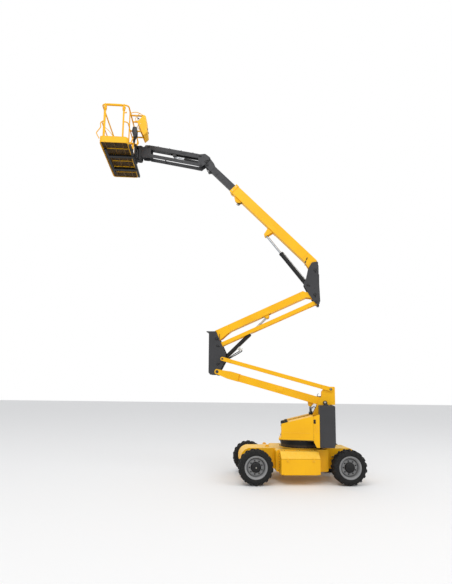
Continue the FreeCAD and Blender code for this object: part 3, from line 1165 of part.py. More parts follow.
def make_entry_bar():
    """Drop bar of the entry, shown raised level with the top rail, on a sleeve round each entry post."""
    outer = "entry_post_radius + 9"
    z = "rail_height - 150"
    pieces = []
    bores = []
    for index, x in enumerate(("entry_near_x", "entry_far_x")):
        pieces.append(cylinder(f"BarSleeve{index}", outer, "80", (x, side_y, z)))
        bores.append(cylinder(f"BarBore{index}", "entry_post_radius + pin_clearance", "100",
                              (x, side_y, f"{z} - 10")))
    pieces.append(cylinder("BarTube", "rail_radius", "entry_far_x - entry_near_x - 2 * entry_post_radius - 6",
                           ("entry_near_x + entry_post_radius + 3", side_y, "rail_height - rail_radius"), ALONG_X))
    for index, x in enumerate(("entry_near_x + entry_post_radius + 3", "entry_far_x - entry_post_radius - 15")):
        pieces.append(block(f"BarHanger{index}", "12", "24", "150 - rail_radius", (x, f"{side_y} - 12", z)))
    return cut("EntryBar", fuse("EntryBarSolid", pieces), fuse("EntryBarBores", bores))


def make_console():
    """Control console outboard of the rail: a pressed shell, open below, on two bars from the rails."""
    outline = [(30, 840, 20), (-138, 1080, 30), (-204, 1030, 30), (-258, 560, 30), (-150, 450, 20), (-40, 720, 12)]
    inside = [(23, 840, 14), (-139, 1071, 24), (-198, 1027, 24), (-252, 562, 24), (-134, 443, 0), (-29, 715, 0),
              (-45, 723, 0)]
    box = cut("ConsoleBox", plate("ConsoleShell", outline, "console_width", "console_near"),
              plate("ConsoleHollow", inside, "console_width - 12", "console_near + 6"))
    arms = []
    for index, y in enumerate((200, 480)):
        arms.append(block(f"ConsoleArmLow{index}", f"{back_x} - mid_rail_radius + 252", "40", "24",
                          ("-252", f"{y}", "mid_rail_height - 12")))
        arms.append(block(f"ConsoleArmTop{index}", f"{back_x} - rail_radius + 140", "40", "24",
                          ("-140", f"{y}", "rail_height - rail_radius - 24")))
    return [box] + arms


node("basket_yoke", make_yoke(), basket_frame)
node("basket_floor", make_basket_floor(), basket_frame)
node("basket_rails", make_basket_rails(), basket_frame)
node("entry_bar", make_entry_bar(), basket_frame)
node("control_console", fuse("Console", make_console()), basket_frame)

doc.recompute()

# Checks, then one file for each sub-part
for item in doc.Objects:
    if "Invalid" in item.State or "Error" in item.State:
        raise RuntimeError(f"{item.Name} failed: {item.State}")
os.makedirs("parts", exist_ok=True)
for item in NODES:
    if item.Shape.isNull() or not item.Shape.isValid():
        raise RuntimeError(f"{item.Label} has no valid shape")
    solids = len(item.Shape.Solids)
    volume = item.Shape.Volume / 1e6
    item.Shape.exportStep(f"parts/{item.Label}.step")
    print(f"{item.Label}: {solids} solid(s), {volume:.2f} litres")
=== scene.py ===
# %% [markdown]
# # An articulating boom lift
# The machine comes from CAD as a frame of exact solids, in metres, standing on z = 0 under its slewing axis.
# This script dresses that frame. Each real finish becomes a material, small hardware becomes its own piece, and
# a camera and soft lights stand where the photograph needs them.

# %% Load the frame
import bpy
import bmesh
import math
from mathutils import Matrix, Vector


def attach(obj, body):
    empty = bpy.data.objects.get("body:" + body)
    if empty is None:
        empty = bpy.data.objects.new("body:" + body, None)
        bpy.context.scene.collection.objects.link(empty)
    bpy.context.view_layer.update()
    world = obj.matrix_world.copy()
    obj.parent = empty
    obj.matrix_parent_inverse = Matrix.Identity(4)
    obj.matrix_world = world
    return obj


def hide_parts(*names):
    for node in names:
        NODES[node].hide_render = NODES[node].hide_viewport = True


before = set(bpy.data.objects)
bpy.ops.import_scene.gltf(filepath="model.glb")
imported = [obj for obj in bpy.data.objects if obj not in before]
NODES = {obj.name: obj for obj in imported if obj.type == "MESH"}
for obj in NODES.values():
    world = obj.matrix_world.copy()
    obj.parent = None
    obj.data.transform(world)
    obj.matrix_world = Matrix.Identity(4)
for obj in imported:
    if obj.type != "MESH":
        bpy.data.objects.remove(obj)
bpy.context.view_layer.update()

# %% [markdown]
# ## The camera
# The photograph was taken from head height, about ten metres away, looking slightly up. A camera fitted to the
# basket and the wheels gives its place, its aim and a small roll. The picture's horizon sits low, which is a
# vertical shift of the lens and not more tilt, so upright edges stay nearly upright.

# %% Camera
FOCAL_PIXELS = 407.339
IMAGE_HEIGHT = 584
SENSOR_MM = 36.0
yaw, pitch, roll = 0.055, 0.130, 0.013
forward = Vector((math.sin(yaw) * math.cos(pitch), math.cos(yaw) * math.cos(pitch), math.sin(pitch)))
right = forward.cross(Vector((0, 0, 1))).normalized()
upward = right.cross(forward).normalized()
turn = Matrix.Rotation(-roll, 3, forward)
right, upward = turn @ right, turn @ upward
camera_data = bpy.data.cameras.new("photo_camera")
camera_data.sensor_fit = "VERTICAL"
camera_data.sensor_height = SENSOR_MM
camera_data.lens = FOCAL_PIXELS / IMAGE_HEIGHT * SENSOR_MM
camera_data.shift_y = (336.821 - IMAGE_HEIGHT / 2) / IMAGE_HEIGHT
camera_data.clip_end = 200
camera = bpy.data.objects.new("photo_camera", camera_data)
bpy.context.scene.collection.objects.link(camera)
camera.matrix_world = Matrix.Translation((-2.430, -10.235, 2.117)) @ Matrix(
    (right, upward, -forward)).transposed().to_4x4()
bpy.context.scene.camera = camera


def picture_point(point):
    """Where a point of the model lands in the 452 by 584 picture."""
    offset = Vector(point) - camera.matrix_world.translation
    depth = offset.dot(forward)
    return (226 + FOCAL_PIXELS * offset.dot(right) / depth, 336.821 - FOCAL_PIXELS * offset.dot(upward) / depth)


print("basket corner lands at", [round(v, 1) for v in picture_point((-5.338, 0.086, 9.812))])

# %% [markdown]
# ## Colours and nodes
# Paint codes are written as screen colours, and Blender mixes light in linear values, so one function turns a
# code to linear. Another adds a node to any node tree, sets its options and feeds its sockets, each from a value
# or from another node's output.

# %% Colour and node helpers
def tint(code):
    """Linear RGBA of an sRGB hex colour."""
    parts = [int(code[i:i + 2], 16) / 255 for i in (1, 3, 5)]
    return tuple(c / 12.92 if c <= 0.04045 else ((c + 0.055) / 1.055) ** 2.4 for c in parts) + (1.0,)


def add(tree, kind, feeds=None, **options):
    """Add a node, set its options, and feed its inputs by name or number from values or outputs."""
    node = tree.nodes.new(kind)
    for key, value in options.items():
        setattr(node, key, value)
    for key, value in (feeds or {}).items():
        socket = node.inputs[key]
        if isinstance(value, bpy.types.NodeSocket):
            tree.links.new(value, socket)
        else:
            socket.default_value = value
    return node


def finish_material(name):
    """An empty material with its shader, output and object coordinates."""
    material = bpy.data.materials.new(name)
    material.use_nodes = True
    tree = material.node_tree
    tree.nodes.clear()
    shader = add(tree, "ShaderNodeBsdfPrincipled")
    add(tree, "ShaderNodeOutputMaterial", {"Surface": shader.outputs["BSDF"]})
    place = add(tree, "ShaderNodeTexCoord").outputs["Object"]
    return material, tree, shader, place


# %% [markdown]
# ## Painted steel
# The machine's plates are mild steel, welded, primed and sprayed with two-pack paint. The eye gets an even colour
# with a soft gloss, slightly uneven over a metre, and darker grime in streaks. A pale veil where a face looks up is
# partly dust and partly painted highlight, and a painted highlight runs along rounded edges. The same recipe serves
# every painted part, with its own colours.

# %% Painted steel
def painted_steel(name, colour, shade, dust, gloss, dust_and_highlight_share):
    """Sprayed two-pack paint: base colour, its darker cast, a pale colour for dust and painted highlight, and its
    roughness.
    """
    material, tree, shader, place = finish_material(name)
    # clouds about 0.6 m across: the coat's uneven thickness
    cloud = add(tree, "ShaderNodeTexNoise", {"Vector": place, "Scale": 1.7, "Detail": 3.0})
    share = add(tree, "ShaderNodeMapRange", {0: cloud.outputs["Fac"], 1: 0.35, 2: 0.72, 3: 0.0, 4: 0.55})
    base = add(tree, "ShaderNodeMix", {0: share.outputs[0], 6: tint(colour), 7: tint(shade)}, data_type="RGBA")
    # streaks 40 mm wide that run down the plate
    narrow = add(tree, "ShaderNodeMapping", {"Vector": place, "Scale": (9.0, 9.0, 0.9)})
    streak = add(tree, "ShaderNodeTexNoise", {"Vector": narrow.outputs[0], "Scale": 2.6, "Detail": 5.0})
    streaked = add(tree, "ShaderNodeMapRange", {0: streak.outputs["Fac"], 1: 0.56, 2: 0.80, 3: 0.0, 4: 0.30})
    grimy = add(tree, "ShaderNodeMix", {0: streaked.outputs[0], 6: base.outputs[2], 7: tint(shade)},
                data_type="RGBA")
    # dust and painted highlight on faces that look up, broken by 30 mm patches
    look = add(tree, "ShaderNodeSeparateXYZ", {0: add(tree, "ShaderNodeNewGeometry").outputs["Normal"]})
    patch = add(tree, "ShaderNodeTexNoise", {"Vector": place, "Scale": 24.0, "Detail": 4.0})
    lift = add(tree, "ShaderNodeMapRange", {0: look.outputs[2], 1: 0.30, 2: 0.85, 3: 0.0, 4: dust_and_highlight_share})
    dust_and_highlight_mask = add(tree, "ShaderNodeMath", {0: lift.outputs[0], 1: patch.outputs["Fac"]}, operation="MULTIPLY")
    dusted_and_highlit = add(tree, "ShaderNodeMix", {0: dust_and_highlight_mask.outputs[0], 6: grimy.outputs[2], 7: tint(dust)},
                 data_type="RGBA")
    # rounded edges: the Bevel normal rounds their shading; their colour goes towards the pale dust colour as painted
    # highlight
    rounded = add(tree, "ShaderNodeBevel", {"Radius": 0.007}, samples=4)
    flat = add(tree, "ShaderNodeNewGeometry")
    turned = add(tree, "ShaderNodeVectorMath", {0: rounded.outputs[0], 1: flat.outputs["Normal"]},
                 operation="DOT_PRODUCT")
    edge = add(tree, "ShaderNodeMapRange", {0: turned.outputs["Value"], 1: 0.995, 2: 0.86, 3: 0.0, 4: 0.35})
    edge_highlit = add(tree, "ShaderNodeMix", {0: edge.outputs[0], 6: dusted_and_highlit.outputs[2], 7: tint(dust)},
               data_type="RGBA")
    tree.links.new(edge_highlit.outputs[2], shader.inputs["Base Color"])
    rough = add(tree, "ShaderNodeMapRange", {0: patch.outputs["Fac"], 1: 0.3, 2: 0.7, 3: gloss, 4: gloss + 0.16})
    tree.links.new(rough.outputs[0], shader.inputs["Roughness"])
    # orange peel of 6 mm: the real one is 1 to 2 mm and would not show
    peel = add(tree, "ShaderNodeTexNoise", {"Vector": place, "Scale": 160.0, "Detail": 2.0})
    bump = add(tree, "ShaderNodeBump", {"Strength": 0.05, "Distance": 0.002, "Height": peel.outputs["Fac"],
                                        "Normal": rounded.outputs[0]})
    tree.links.new(bump.outputs[0], shader.inputs["Normal"])
    shader.inputs["IOR"].default_value = 1.5
    shader.inputs["Coat Weight"].default_value = 0.04
    shader.inputs["Specular IOR Level"].default_value = 0.30
    shader.inputs["Coat Roughness"].default_value = 0.25
    return material


# the pale third colour of each paint is its dust, and is also mixed in as painted highlight on up-facing faces and
# rounded edges
YELLOW = painted_steel("yellow_two_pack_paint", "#F8BA00", "#EAA800", "#FFDC70", 0.42, 0.80)
DARK = painted_steel("graphite_two_pack_paint", "#3A3A3C", "#2C2C2D", "#5E5B58", 0.46, 0.60)
BLACK = painted_steel("black_chassis_paint", "#161617", "#0E0E0F", "#403D39", 0.40, 0.45)
print("paints made")

# %% [markdown]
# ## Chrome, bare steel, rubber and rims
# Cylinder rods are ground and hard chromed, so they are a near mirror with fine scratches round them. The slewing
# ring is oiled bare steel, brown-black between its bolts. Tyres are carbon-filled rubber, dull, with grey dust
# between the lugs. The rims are sprayed with a silver-grey wheel paint.

# %% Chrome, steel and rubber
def hard_chrome():
    """Ground hard chrome with faint marks from its wiper seal."""
    material, tree, shader, place = finish_material("hard_chrome_rod")
    mark = add(tree, "ShaderNodeTexNoise", {"Vector": place, "Scale": 90.0, "Detail": 4.0})
    rough = add(tree, "ShaderNodeMapRange", {0: mark.outputs["Fac"], 1: 0.3, 2: 0.7, 3: 0.10, 4: 0.26})
    tree.links.new(rough.outputs[0], shader.inputs["Roughness"])
    shader.inputs["Base Color"].default_value = tint("#B9BCC0")
    shader.inputs["Metallic"].default_value = 1.0
    return material


def oiled_steel():
    """Machined ring steel under a film of old oil: brown-black, with lighter rubbed patches."""
    material, tree, shader, place = finish_material("oiled_ring_steel")
    film = add(tree, "ShaderNodeTexNoise", {"Vector": place, "Scale": 7.0, "Detail": 6.0})
    colour = add(tree, "ShaderNodeMix", {0: film.outputs["Fac"], 6: tint("#231E19"), 7: tint("#6B5C49")},
                 data_type="RGBA")
    tree.links.new(colour.outputs[2], shader.inputs["Base Color"])
    rough = add(tree, "ShaderNodeMapRange", {0: film.outputs["Fac"], 1: 0.3, 2: 0.7, 3: 0.28, 4: 0.5})
    tree.links.new(rough.outputs[0], shader.inputs["Roughness"])
    shader.inputs["Metallic"].default_value = 0.6
    return material


def tyre_rubber():
    """Solid industrial tyre rubber: near black, matt, greyed by dust in patches of 20 mm."""
    material, tree, shader, place = finish_material("carbon_black_tyre_rubber")
    dust = add(tree, "ShaderNodeTexNoise", {"Vector": place, "Scale": 40.0, "Detail": 6.0})
    share = add(tree, "ShaderNodeMapRange", {0: dust.outputs["Fac"], 1: 0.42, 2: 0.75, 3: 0.0, 4: 0.55})
    colour = add(tree, "ShaderNodeMix", {0: share.outputs[0], 6: tint("#121212"), 7: tint("#34322F")},
                 data_type="RGBA")
    tree.links.new(colour.outputs[2], shader.inputs["Base Color"])
    grain = add(tree, "ShaderNodeTexNoise", {"Vector": place, "Scale": 220.0, "Detail": 3.0})
    bump = add(tree, "ShaderNodeBump", {"Strength": 0.25, "Distance": 0.002, "Height": grain.outputs["Fac"]})
    tree.links.new(bump.outputs[0], shader.inputs["Normal"])
    shader.inputs["Roughness"].default_value = 0.82
    shader.inputs["Specular IOR Level"].default_value = 0.35
    return material


def hose_rubber():
    """Covered hydraulic hose: black, slightly shiny rubber."""
    material, tree, shader, place = finish_material("black_hose_rubber")
    skin = add(tree, "ShaderNodeTexNoise", {"Vector": place, "Scale": 120.0, "Detail": 2.0})
    rough = add(tree, "ShaderNodeMapRange", {0: skin.outputs["Fac"], 1: 0.3, 2: 0.7, 3: 0.42, 4: 0.6})
    tree.links.new(rough.outputs[0], shader.inputs["Roughness"])
    shader.inputs["Base Color"].default_value = tint("#161616")
    return material


def zinc_steel():
    """Zinc plated fasteners: grey metal with a faint yellow cast."""
    material, tree, shader, place = finish_material("zinc_plated_steel")
    bloom = add(tree, "ShaderNodeTexNoise", {"Vector": place, "Scale": 60.0, "Detail": 3.0})
    colour = add(tree, "ShaderNodeMix", {0: bloom.outputs["Fac"], 6: tint("#8E8C86"), 7: tint("#B7B4AA")},
                 data_type="RGBA")
    tree.links.new(colour.outputs[2], shader.inputs["Base Color"])
    shader.inputs["Metallic"].default_value = 0.9
    shader.inputs["Roughness"].default_value = 0.38
    return material


CHROME, RING_STEEL, TYRE = hard_chrome(), oiled_steel(), tyre_rubber()
HOSE, ZINC = hose_rubber(), zinc_steel()
RIM = painted_steel("silver_grey_wheel_paint", "#8F8F8F", "#6E6E6E", "#A29E97", 0.38, 0.25)
BARREL = painted_steel("black_cylinder_paint", "#171718", "#0E0E0F", "#3A3835", 0.26, 0.35)
FLOOR_STEEL = painted_steel("basket_floor_coating", "#6E4E1A", "#3E301C", "#8A7040", 0.45, 0.20)
PAINTED_SHADE_PANEL = painted_steel("painted_shade_floor_panel", "#33291C", "#1E1A15", "#5A4A30", 0.55, 0.20)
DISC_GREY = painted_steel("shaded_wheel_paint", "#8C8C8C", "#6C6C6C", "#A09C95", 0.42, 0.25)
GUARD_GREY = painted_steel("grey_primer_guard", "#9A9C9E", "#83868A", "#B9B6AE", 0.40, 0.30)
BRIGHT = painted_steel("white_valve_paint", "#D8D6CF", "#BDB9AE", "#E6E2D8", 0.35, 0.30)
STOP_RED = painted_steel("red_button_plastic", "#B3201C", "#8E1714", "#C8605A", 0.35, 0.10)

# %% [markdown]
# ## Each solid gets its finish
# A table of short name beginnings gives every CAD solid its material. The first line that fits wins, and what no
# line names is yellow, which is what the real machine does too.

# %% Finish the solids
FINISHES = [("tyre", TYRE), ("rim", RIM), ("slew_ring", RING_STEEL), ("counterweight", DARK),
            ("middle_knuckle", DARK), ("upper_knuckle", DARK), ("boom_extension", DARK), ("level_knuckle", DARK),
            ("jib_end_bracket", DARK), ("jib_beam", DARK), ("jib_links", DARK), ("basket_yoke", BLACK),
            ("tie_rod", BLACK), ("steering", BLACK), ("front_axle", BLACK), ("rear_axle", BLACK),
            ("turntable", BLACK), ("power_units", BLACK)]
for name, node in NODES.items():
    material = next((finish for start, finish in FINISHES if name.startswith(start)), YELLOW)
    if name.endswith("_barrel"):
        material = BARREL
    elif name.endswith("_rod") and name != "tie_rod":
        material = CHROME
    node.data.materials.clear()
    node.data.materials.append(material)
print("finished", len(NODES), "solids")

# %% [markdown]
# ## Where the parts stand
# The machine was drawn in frames that follow its own pins: the ground, the turned turret, each arm, each knuckle,
# the boom, the jib and the basket. The same frames place the small parts here. Numbers are millimetres along the
# boom, to the near side and up, and each frame brings them to metres in the world.

# %% Frames
def pitched(base, x, y, z, pitch_degrees=0.0):
    """A frame moved by millimetres inside another and pitched up by degrees."""
    return base @ Matrix.Translation((x, y, z)) @ Matrix.Rotation(math.radians(-pitch_degrees), 4, "Y")


def yawed(degrees):
    return Matrix.Rotation(math.radians(degrees), 4, "Z")


METRES = Matrix.Scale(0.001, 4)
GROUND = METRES @ yawed(180)
TURRET = METRES @ yawed(167)
LOWER = pitched(TURRET, -620, 0, 1840, 15.4)
LOWER_TIE = pitched(TURRET, -760, 0, 2170, 15.4)
MIDDLE = pitched(LOWER, 2810, 0, 0, -15.4)
UPPER = pitched(MIDDLE, 35, 0, 863, -23.7)
UPPER_TIE = pitched(MIDDLE, 5, 0, 675, -23.7)
TOP = pitched(UPPER, -2775, 0, 0, 23.7)
BOOM = pitched(TOP, -15, 0, 644, 46.5)
LEVEL = pitched(BOOM, 4389, 0, 108, -46.5)
JIB = pitched(LEVEL, 182, 0, 186, 15.5)
LINKS = pitched(LEVEL, 172, 0, -99, 15.5)
END = pitched(JIB, 1560, 0, 0, -15.5)
BASKET = pitched(END, 307, 0, -357) @ yawed(13)


def ram_frame(base_frame, base, eye_frame, eye):
    """A cylinder's frame, on its base pin with +X towards the rod's eye, and the length between the pins."""
    start = TURRET.inverted() @ base_frame @ Vector((base[0], 0, base[1]))
    end = TURRET.inverted() @ eye_frame @ Vector((eye[0], 0, eye[1]))
    reach = end - start
    return pitched(TURRET, start.x, 0, start.z, math.degrees(math.atan2(reach.z, reach.x))), reach.length


LOWER_RAM, LOWER_SPAN = ram_frame(TURRET, (-330, 1050), LOWER, (330, -150))
ARM_RAM, ARM_SPAN = ram_frame(MIDDLE, (-5, 195), UPPER, (-1437, -10))
BOOM_RAM, BOOM_SPAN = ram_frame(TOP, (173, 254), BOOM, (1631, -199))
JIB_RAM, JIB_SPAN = ram_frame(LEVEL, (172, 26), JIB, (760, -120))
print("cylinder lengths in mm", [round(span) for span in (LOWER_SPAN, ARM_SPAN, BOOM_SPAN, JIB_SPAN)])

# %% [markdown]
# ## Shapes
# Small parts are turned, cut from plate, pressed or bent from tube, so four functions draw those: a lathe, a
# plate with eased edges, a slab, and a tube swept through points. Each draws in millimetres in a local frame and
# adds its mesh to a piece. One last function turns the piece into an object that rides on its body.

# %% Shape helpers
def merge(piece_mesh, part, place):
    """Move a drawn part to its place and add it to the piece's mesh."""
    bmesh.ops.transform(part, matrix=place, verts=part.verts)
    bmesh.ops.recalc_face_normals(part, faces=part.faces)
    carrier = bpy.data.meshes.new("carrier")
    part.to_mesh(carrier)
    part.free()
    piece_mesh.from_mesh(carrier)
    bpy.data.meshes.remove(carrier)


def lathe(piece_mesh, place, at, profile, segments=32, axis="Y"):
    """Turn an outline of (radius, along) points round an axis; it closes on the axis or on itself."""
    part = bmesh.new()
    rings = []
    for radius, along in profile:
        count = segments if radius else 1
        angles = [math.tau * k / segments for k in range(count)]
        rings.append([part.verts.new((radius * math.cos(a), along, radius * math.sin(a))) for a in angles])
    pairs = list(zip(rings, rings[1:]))
    if profile[0][0]:
        pairs.append((rings[-1], rings[0]))
    for first, second in pairs:
        for k in range(segments):
            corners = [first[k % len(first)], first[(k + 1) % len(first)], second[(k + 1) % len(second)],
                       second[k % len(second)]]
            corners = list(dict.fromkeys(corners))
            if len(corners) > 2:
                part.faces.new(corners)
    turns = {"X": Matrix.Rotation(-math.pi / 2, 4, "Z"), "Y": Matrix(), "Z": Matrix.Rotation(math.pi / 2, 4, "X")}
    merge(piece_mesh, part, place @ Matrix.Translation(at) @ turns[axis])


def cut_plate(piece_mesh, place, outline, start_y, thickness, ease=1.5):
    """A plate with an outline in X and Z, standing from start_y, with eased edges."""
    part = bmesh.new()
    near = [part.verts.new((x, start_y + thickness, z)) for x, z in outline]
    far = [part.verts.new((x, start_y, z)) for x, z in outline]
    part.faces.new(near)
    part.faces.new(far[::-1])
    for k in range(len(outline)):
        j = (k + 1) % len(outline)
        part.faces.new((near[k], far[k], far[j], near[j]))
    if ease:
        bmesh.ops.bevel(part, geom=part.edges[:], offset=ease, segments=2, profile=0.5, affect="EDGES")
    merge(piece_mesh, part, place)


def slab(piece_mesh, place, low, high, ease=2.0):
    """A block between two corners with eased edges."""
    outline = [(low[0], low[2]), (high[0], low[2]), (high[0], high[2]), (low[0], high[2])]
    cut_plate(piece_mesh, place, outline, low[1], high[1] - low[1], ease)


def smooth_path(points, steps):
    """Points on a curve that passes through the given ones; one step keeps straight runs."""
    points = [Vector(point) for point in points]
    if steps == 1:
        return points
    padded = [2 * points[0] - points[1]] + points + [2 * points[-1] - points[-2]]
    path = []
    for a, b, c, d in zip(padded, padded[1:], padded[2:], padded[3:]):
        for k in range(steps):
            t = k / steps
            path.append(0.5 * (2 * b + (c - a) * t + (2 * a - 5 * b + 4 * c - d) * t ** 2
                               + (3 * b - a - 3 * c + d) * t ** 3))
    return path + [points[-1]]


def hose(piece_mesh, place, points, radius, sides=10, steps=6):
    """A round tube swept through points and closed at both ends."""
    path = smooth_path(points, steps)
    part = bmesh.new()
    rings = []
    normal = (path[1] - path[0]).orthogonal()
    for index, point in enumerate(path):
        ahead = (path[min(index + 1, len(path) - 1)] - path[max(index - 1, 0)]).normalized()
        normal = (normal - ahead * normal.dot(ahead)).normalized()
        across = ahead.cross(normal)
        rings.append([part.verts.new(point + (normal * math.cos(math.tau * k / sides)
                                              + across * math.sin(math.tau * k / sides)) * radius)
                      for k in range(sides)])
    for first, second in zip(rings, rings[1:]):
        for k in range(sides):
            j = (k + 1) % sides
            part.faces.new((first[k], first[j], second[j], second[k]))
    part.faces.new(rings[0][::-1])
    part.faces.new(rings[-1])
    merge(piece_mesh, part, place)


def finish_mesh(name, mesh, body, material, stands_for=()):
    """Link a finished mesh as a piece that rides on a body, set its material if one is given, and hide the solids it
    stands for.
    """
    mesh.name = name
    if material:
        mesh.materials.clear()
        mesh.materials.append(material)
    for polygon in mesh.polygons:
        polygon.use_smooth = True
    mesh.set_sharp_from_angle(angle=math.radians(32))
    piece = bpy.data.objects.new(name, mesh)
    bpy.context.scene.collection.objects.link(piece)
    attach(piece, body)
    if stands_for:
        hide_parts(*stands_for)
    return piece


def finish_piece(name, piece_mesh, body, material, stands_for=()):
    """Merge doubled points and make the piece from its drawn mesh."""
    bmesh.ops.remove_doubles(piece_mesh, verts=piece_mesh.verts, dist=0.00002)
    mesh = bpy.data.meshes.new(name)
    piece_mesh.to_mesh(mesh)
    piece_mesh.free()
    print(name, len(mesh.polygons), "faces")
    return finish_mesh(name, mesh, body, material, stands_for)


# %% [markdown]
# ## Repeats by Geometry Nodes
# Tread lugs, bolts and the basket's floor mesh are the same small shape many times over. On the real machine the
# lugs come out of one mould, the bolts from one box and the floor from one pressed and stretched sheet. A node
# tree for each copies the shape to its places, with its numbers as named inputs, and realizes the copies, so the
# result is a plain mesh.

# %% Geometry Nodes trees
def new_tree(name, inputs):
    """A geometry tree with named inputs, and its group input and output."""
    tree = bpy.data.node_groups.new(name, "GeometryNodeTree")
    tree.interface.new_socket("Geometry", in_out="INPUT", socket_type="NodeSocketGeometry")
    for label, kind in inputs:
        tree.interface.new_socket(label, in_out="INPUT", socket_type=kind)
    tree.interface.new_socket("Geometry", in_out="OUTPUT", socket_type="NodeSocketGeometry")
    return tree, add(tree, "NodeGroupInput").outputs


def end_tree(tree, geometry, material):
    """Realize the copies, set their material and end the tree."""
    real = add(tree, "GeometryNodeRealizeInstances", {"Geometry": geometry})
    painted = add(tree, "GeometryNodeSetMaterial", {"Geometry": real.outputs[0], "Material": material})
    add(tree, "NodeGroupOutput", {"Geometry": painted.outputs[0]})
    return tree


def run_tree(tree, mesh, values):
    """Run a tree on a mesh with named values, and return a plain mesh."""
    carrier = bpy.data.objects.new("carrier", mesh)
    bpy.context.scene.collection.objects.link(carrier)
    modifier = carrier.modifiers.new("nodes", "NODES")
    modifier.node_group = tree
    for item in tree.interface.items_tree:
        if item.in_out == "INPUT" and item.name in values:
            modifier[item.identifier] = values[item.name]
    graph = bpy.context.evaluated_depsgraph_get()
    made = bpy.data.meshes.new_from_object(carrier.evaluated_get(graph))
    bpy.data.objects.remove(carrier)
    bpy.data.meshes.remove(mesh)
    return made


def ring_tree():
    """Copies of a shape in a full turn round the local Y axis."""
    tree, given = new_tree("ring_of_copies", [("Count", "NodeSocketInt"), ("Material", "NodeSocketMaterial")])
    spots = add(tree, "GeometryNodeMeshLine", {"Count": given["Count"], "Offset": (0, 0, 0)})
    index = add(tree, "GeometryNodeInputIndex").outputs[0]
    step = add(tree, "ShaderNodeMath", {0: math.tau, 1: given["Count"]}, operation="DIVIDE")
    angle = add(tree, "ShaderNodeMath", {0: index, 1: step.outputs[0]}, operation="MULTIPLY")
    turn = add(tree, "ShaderNodeCombineXYZ", {"Y": angle.outputs[0]})
    spin = add(tree, "FunctionNodeEulerToRotation", {0: turn.outputs[0]})
    copies = add(tree, "GeometryNodeInstanceOnPoints", {"Points": spots.outputs[0], "Instance": given["Geometry"],
                                                        "Rotation": spin.outputs[0]})
    return end_tree(tree, copies.outputs[0], given["Material"])


def bolt_tree():
    """A washer and a hexagon head on each point, turned to its own facing direction."""
    tree, given = new_tree("hexagon_bolts", [("Head", "NodeSocketFloat"), ("Material", "NodeSocketMaterial")])
    rise = add(tree, "ShaderNodeMath", {0: given["Head"], 1: 0.75}, operation="MULTIPLY").outputs[0]
    lift = add(tree, "ShaderNodeMath", {0: given["Head"], 1: 0.5}, operation="MULTIPLY").outputs[0]
    wide = add(tree, "ShaderNodeMath", {0: given["Head"], 1: 1.35}, operation="MULTIPLY").outputs[0]
    thin = add(tree, "ShaderNodeMath", {0: given["Head"], 1: 0.36}, operation="MULTIPLY").outputs[0]
    head = add(tree, "GeometryNodeMeshCylinder", {"Vertices": 6, "Radius": given["Head"], "Depth": rise})
    up = add(tree, "ShaderNodeCombineXYZ", {"Z": lift})
    raised = add(tree, "GeometryNodeTransform", {"Geometry": head.outputs[0], "Translation": up.outputs[0]})
    washer = add(tree, "GeometryNodeMeshCylinder", {"Vertices": 18, "Radius": wide, "Depth": thin})
    both = add(tree, "GeometryNodeJoinGeometry")
    tree.links.new(raised.outputs[0], both.inputs[0])
    tree.links.new(washer.outputs[0], both.inputs[0])
    facing = add(tree, "GeometryNodeInputNamedAttribute", {"Name": "facing"}, data_type="FLOAT_VECTOR")
    turned = add(tree, "FunctionNodeAlignRotationToVector", {"Vector": facing.outputs["Attribute"]}, axis="Z")
    copies = add(tree, "GeometryNodeInstanceOnPoints", {"Points": given["Geometry"], "Instance": both.outputs[0],
                                                        "Rotation": turned.outputs[0]})
    return end_tree(tree, copies.outputs[0], given["Material"])


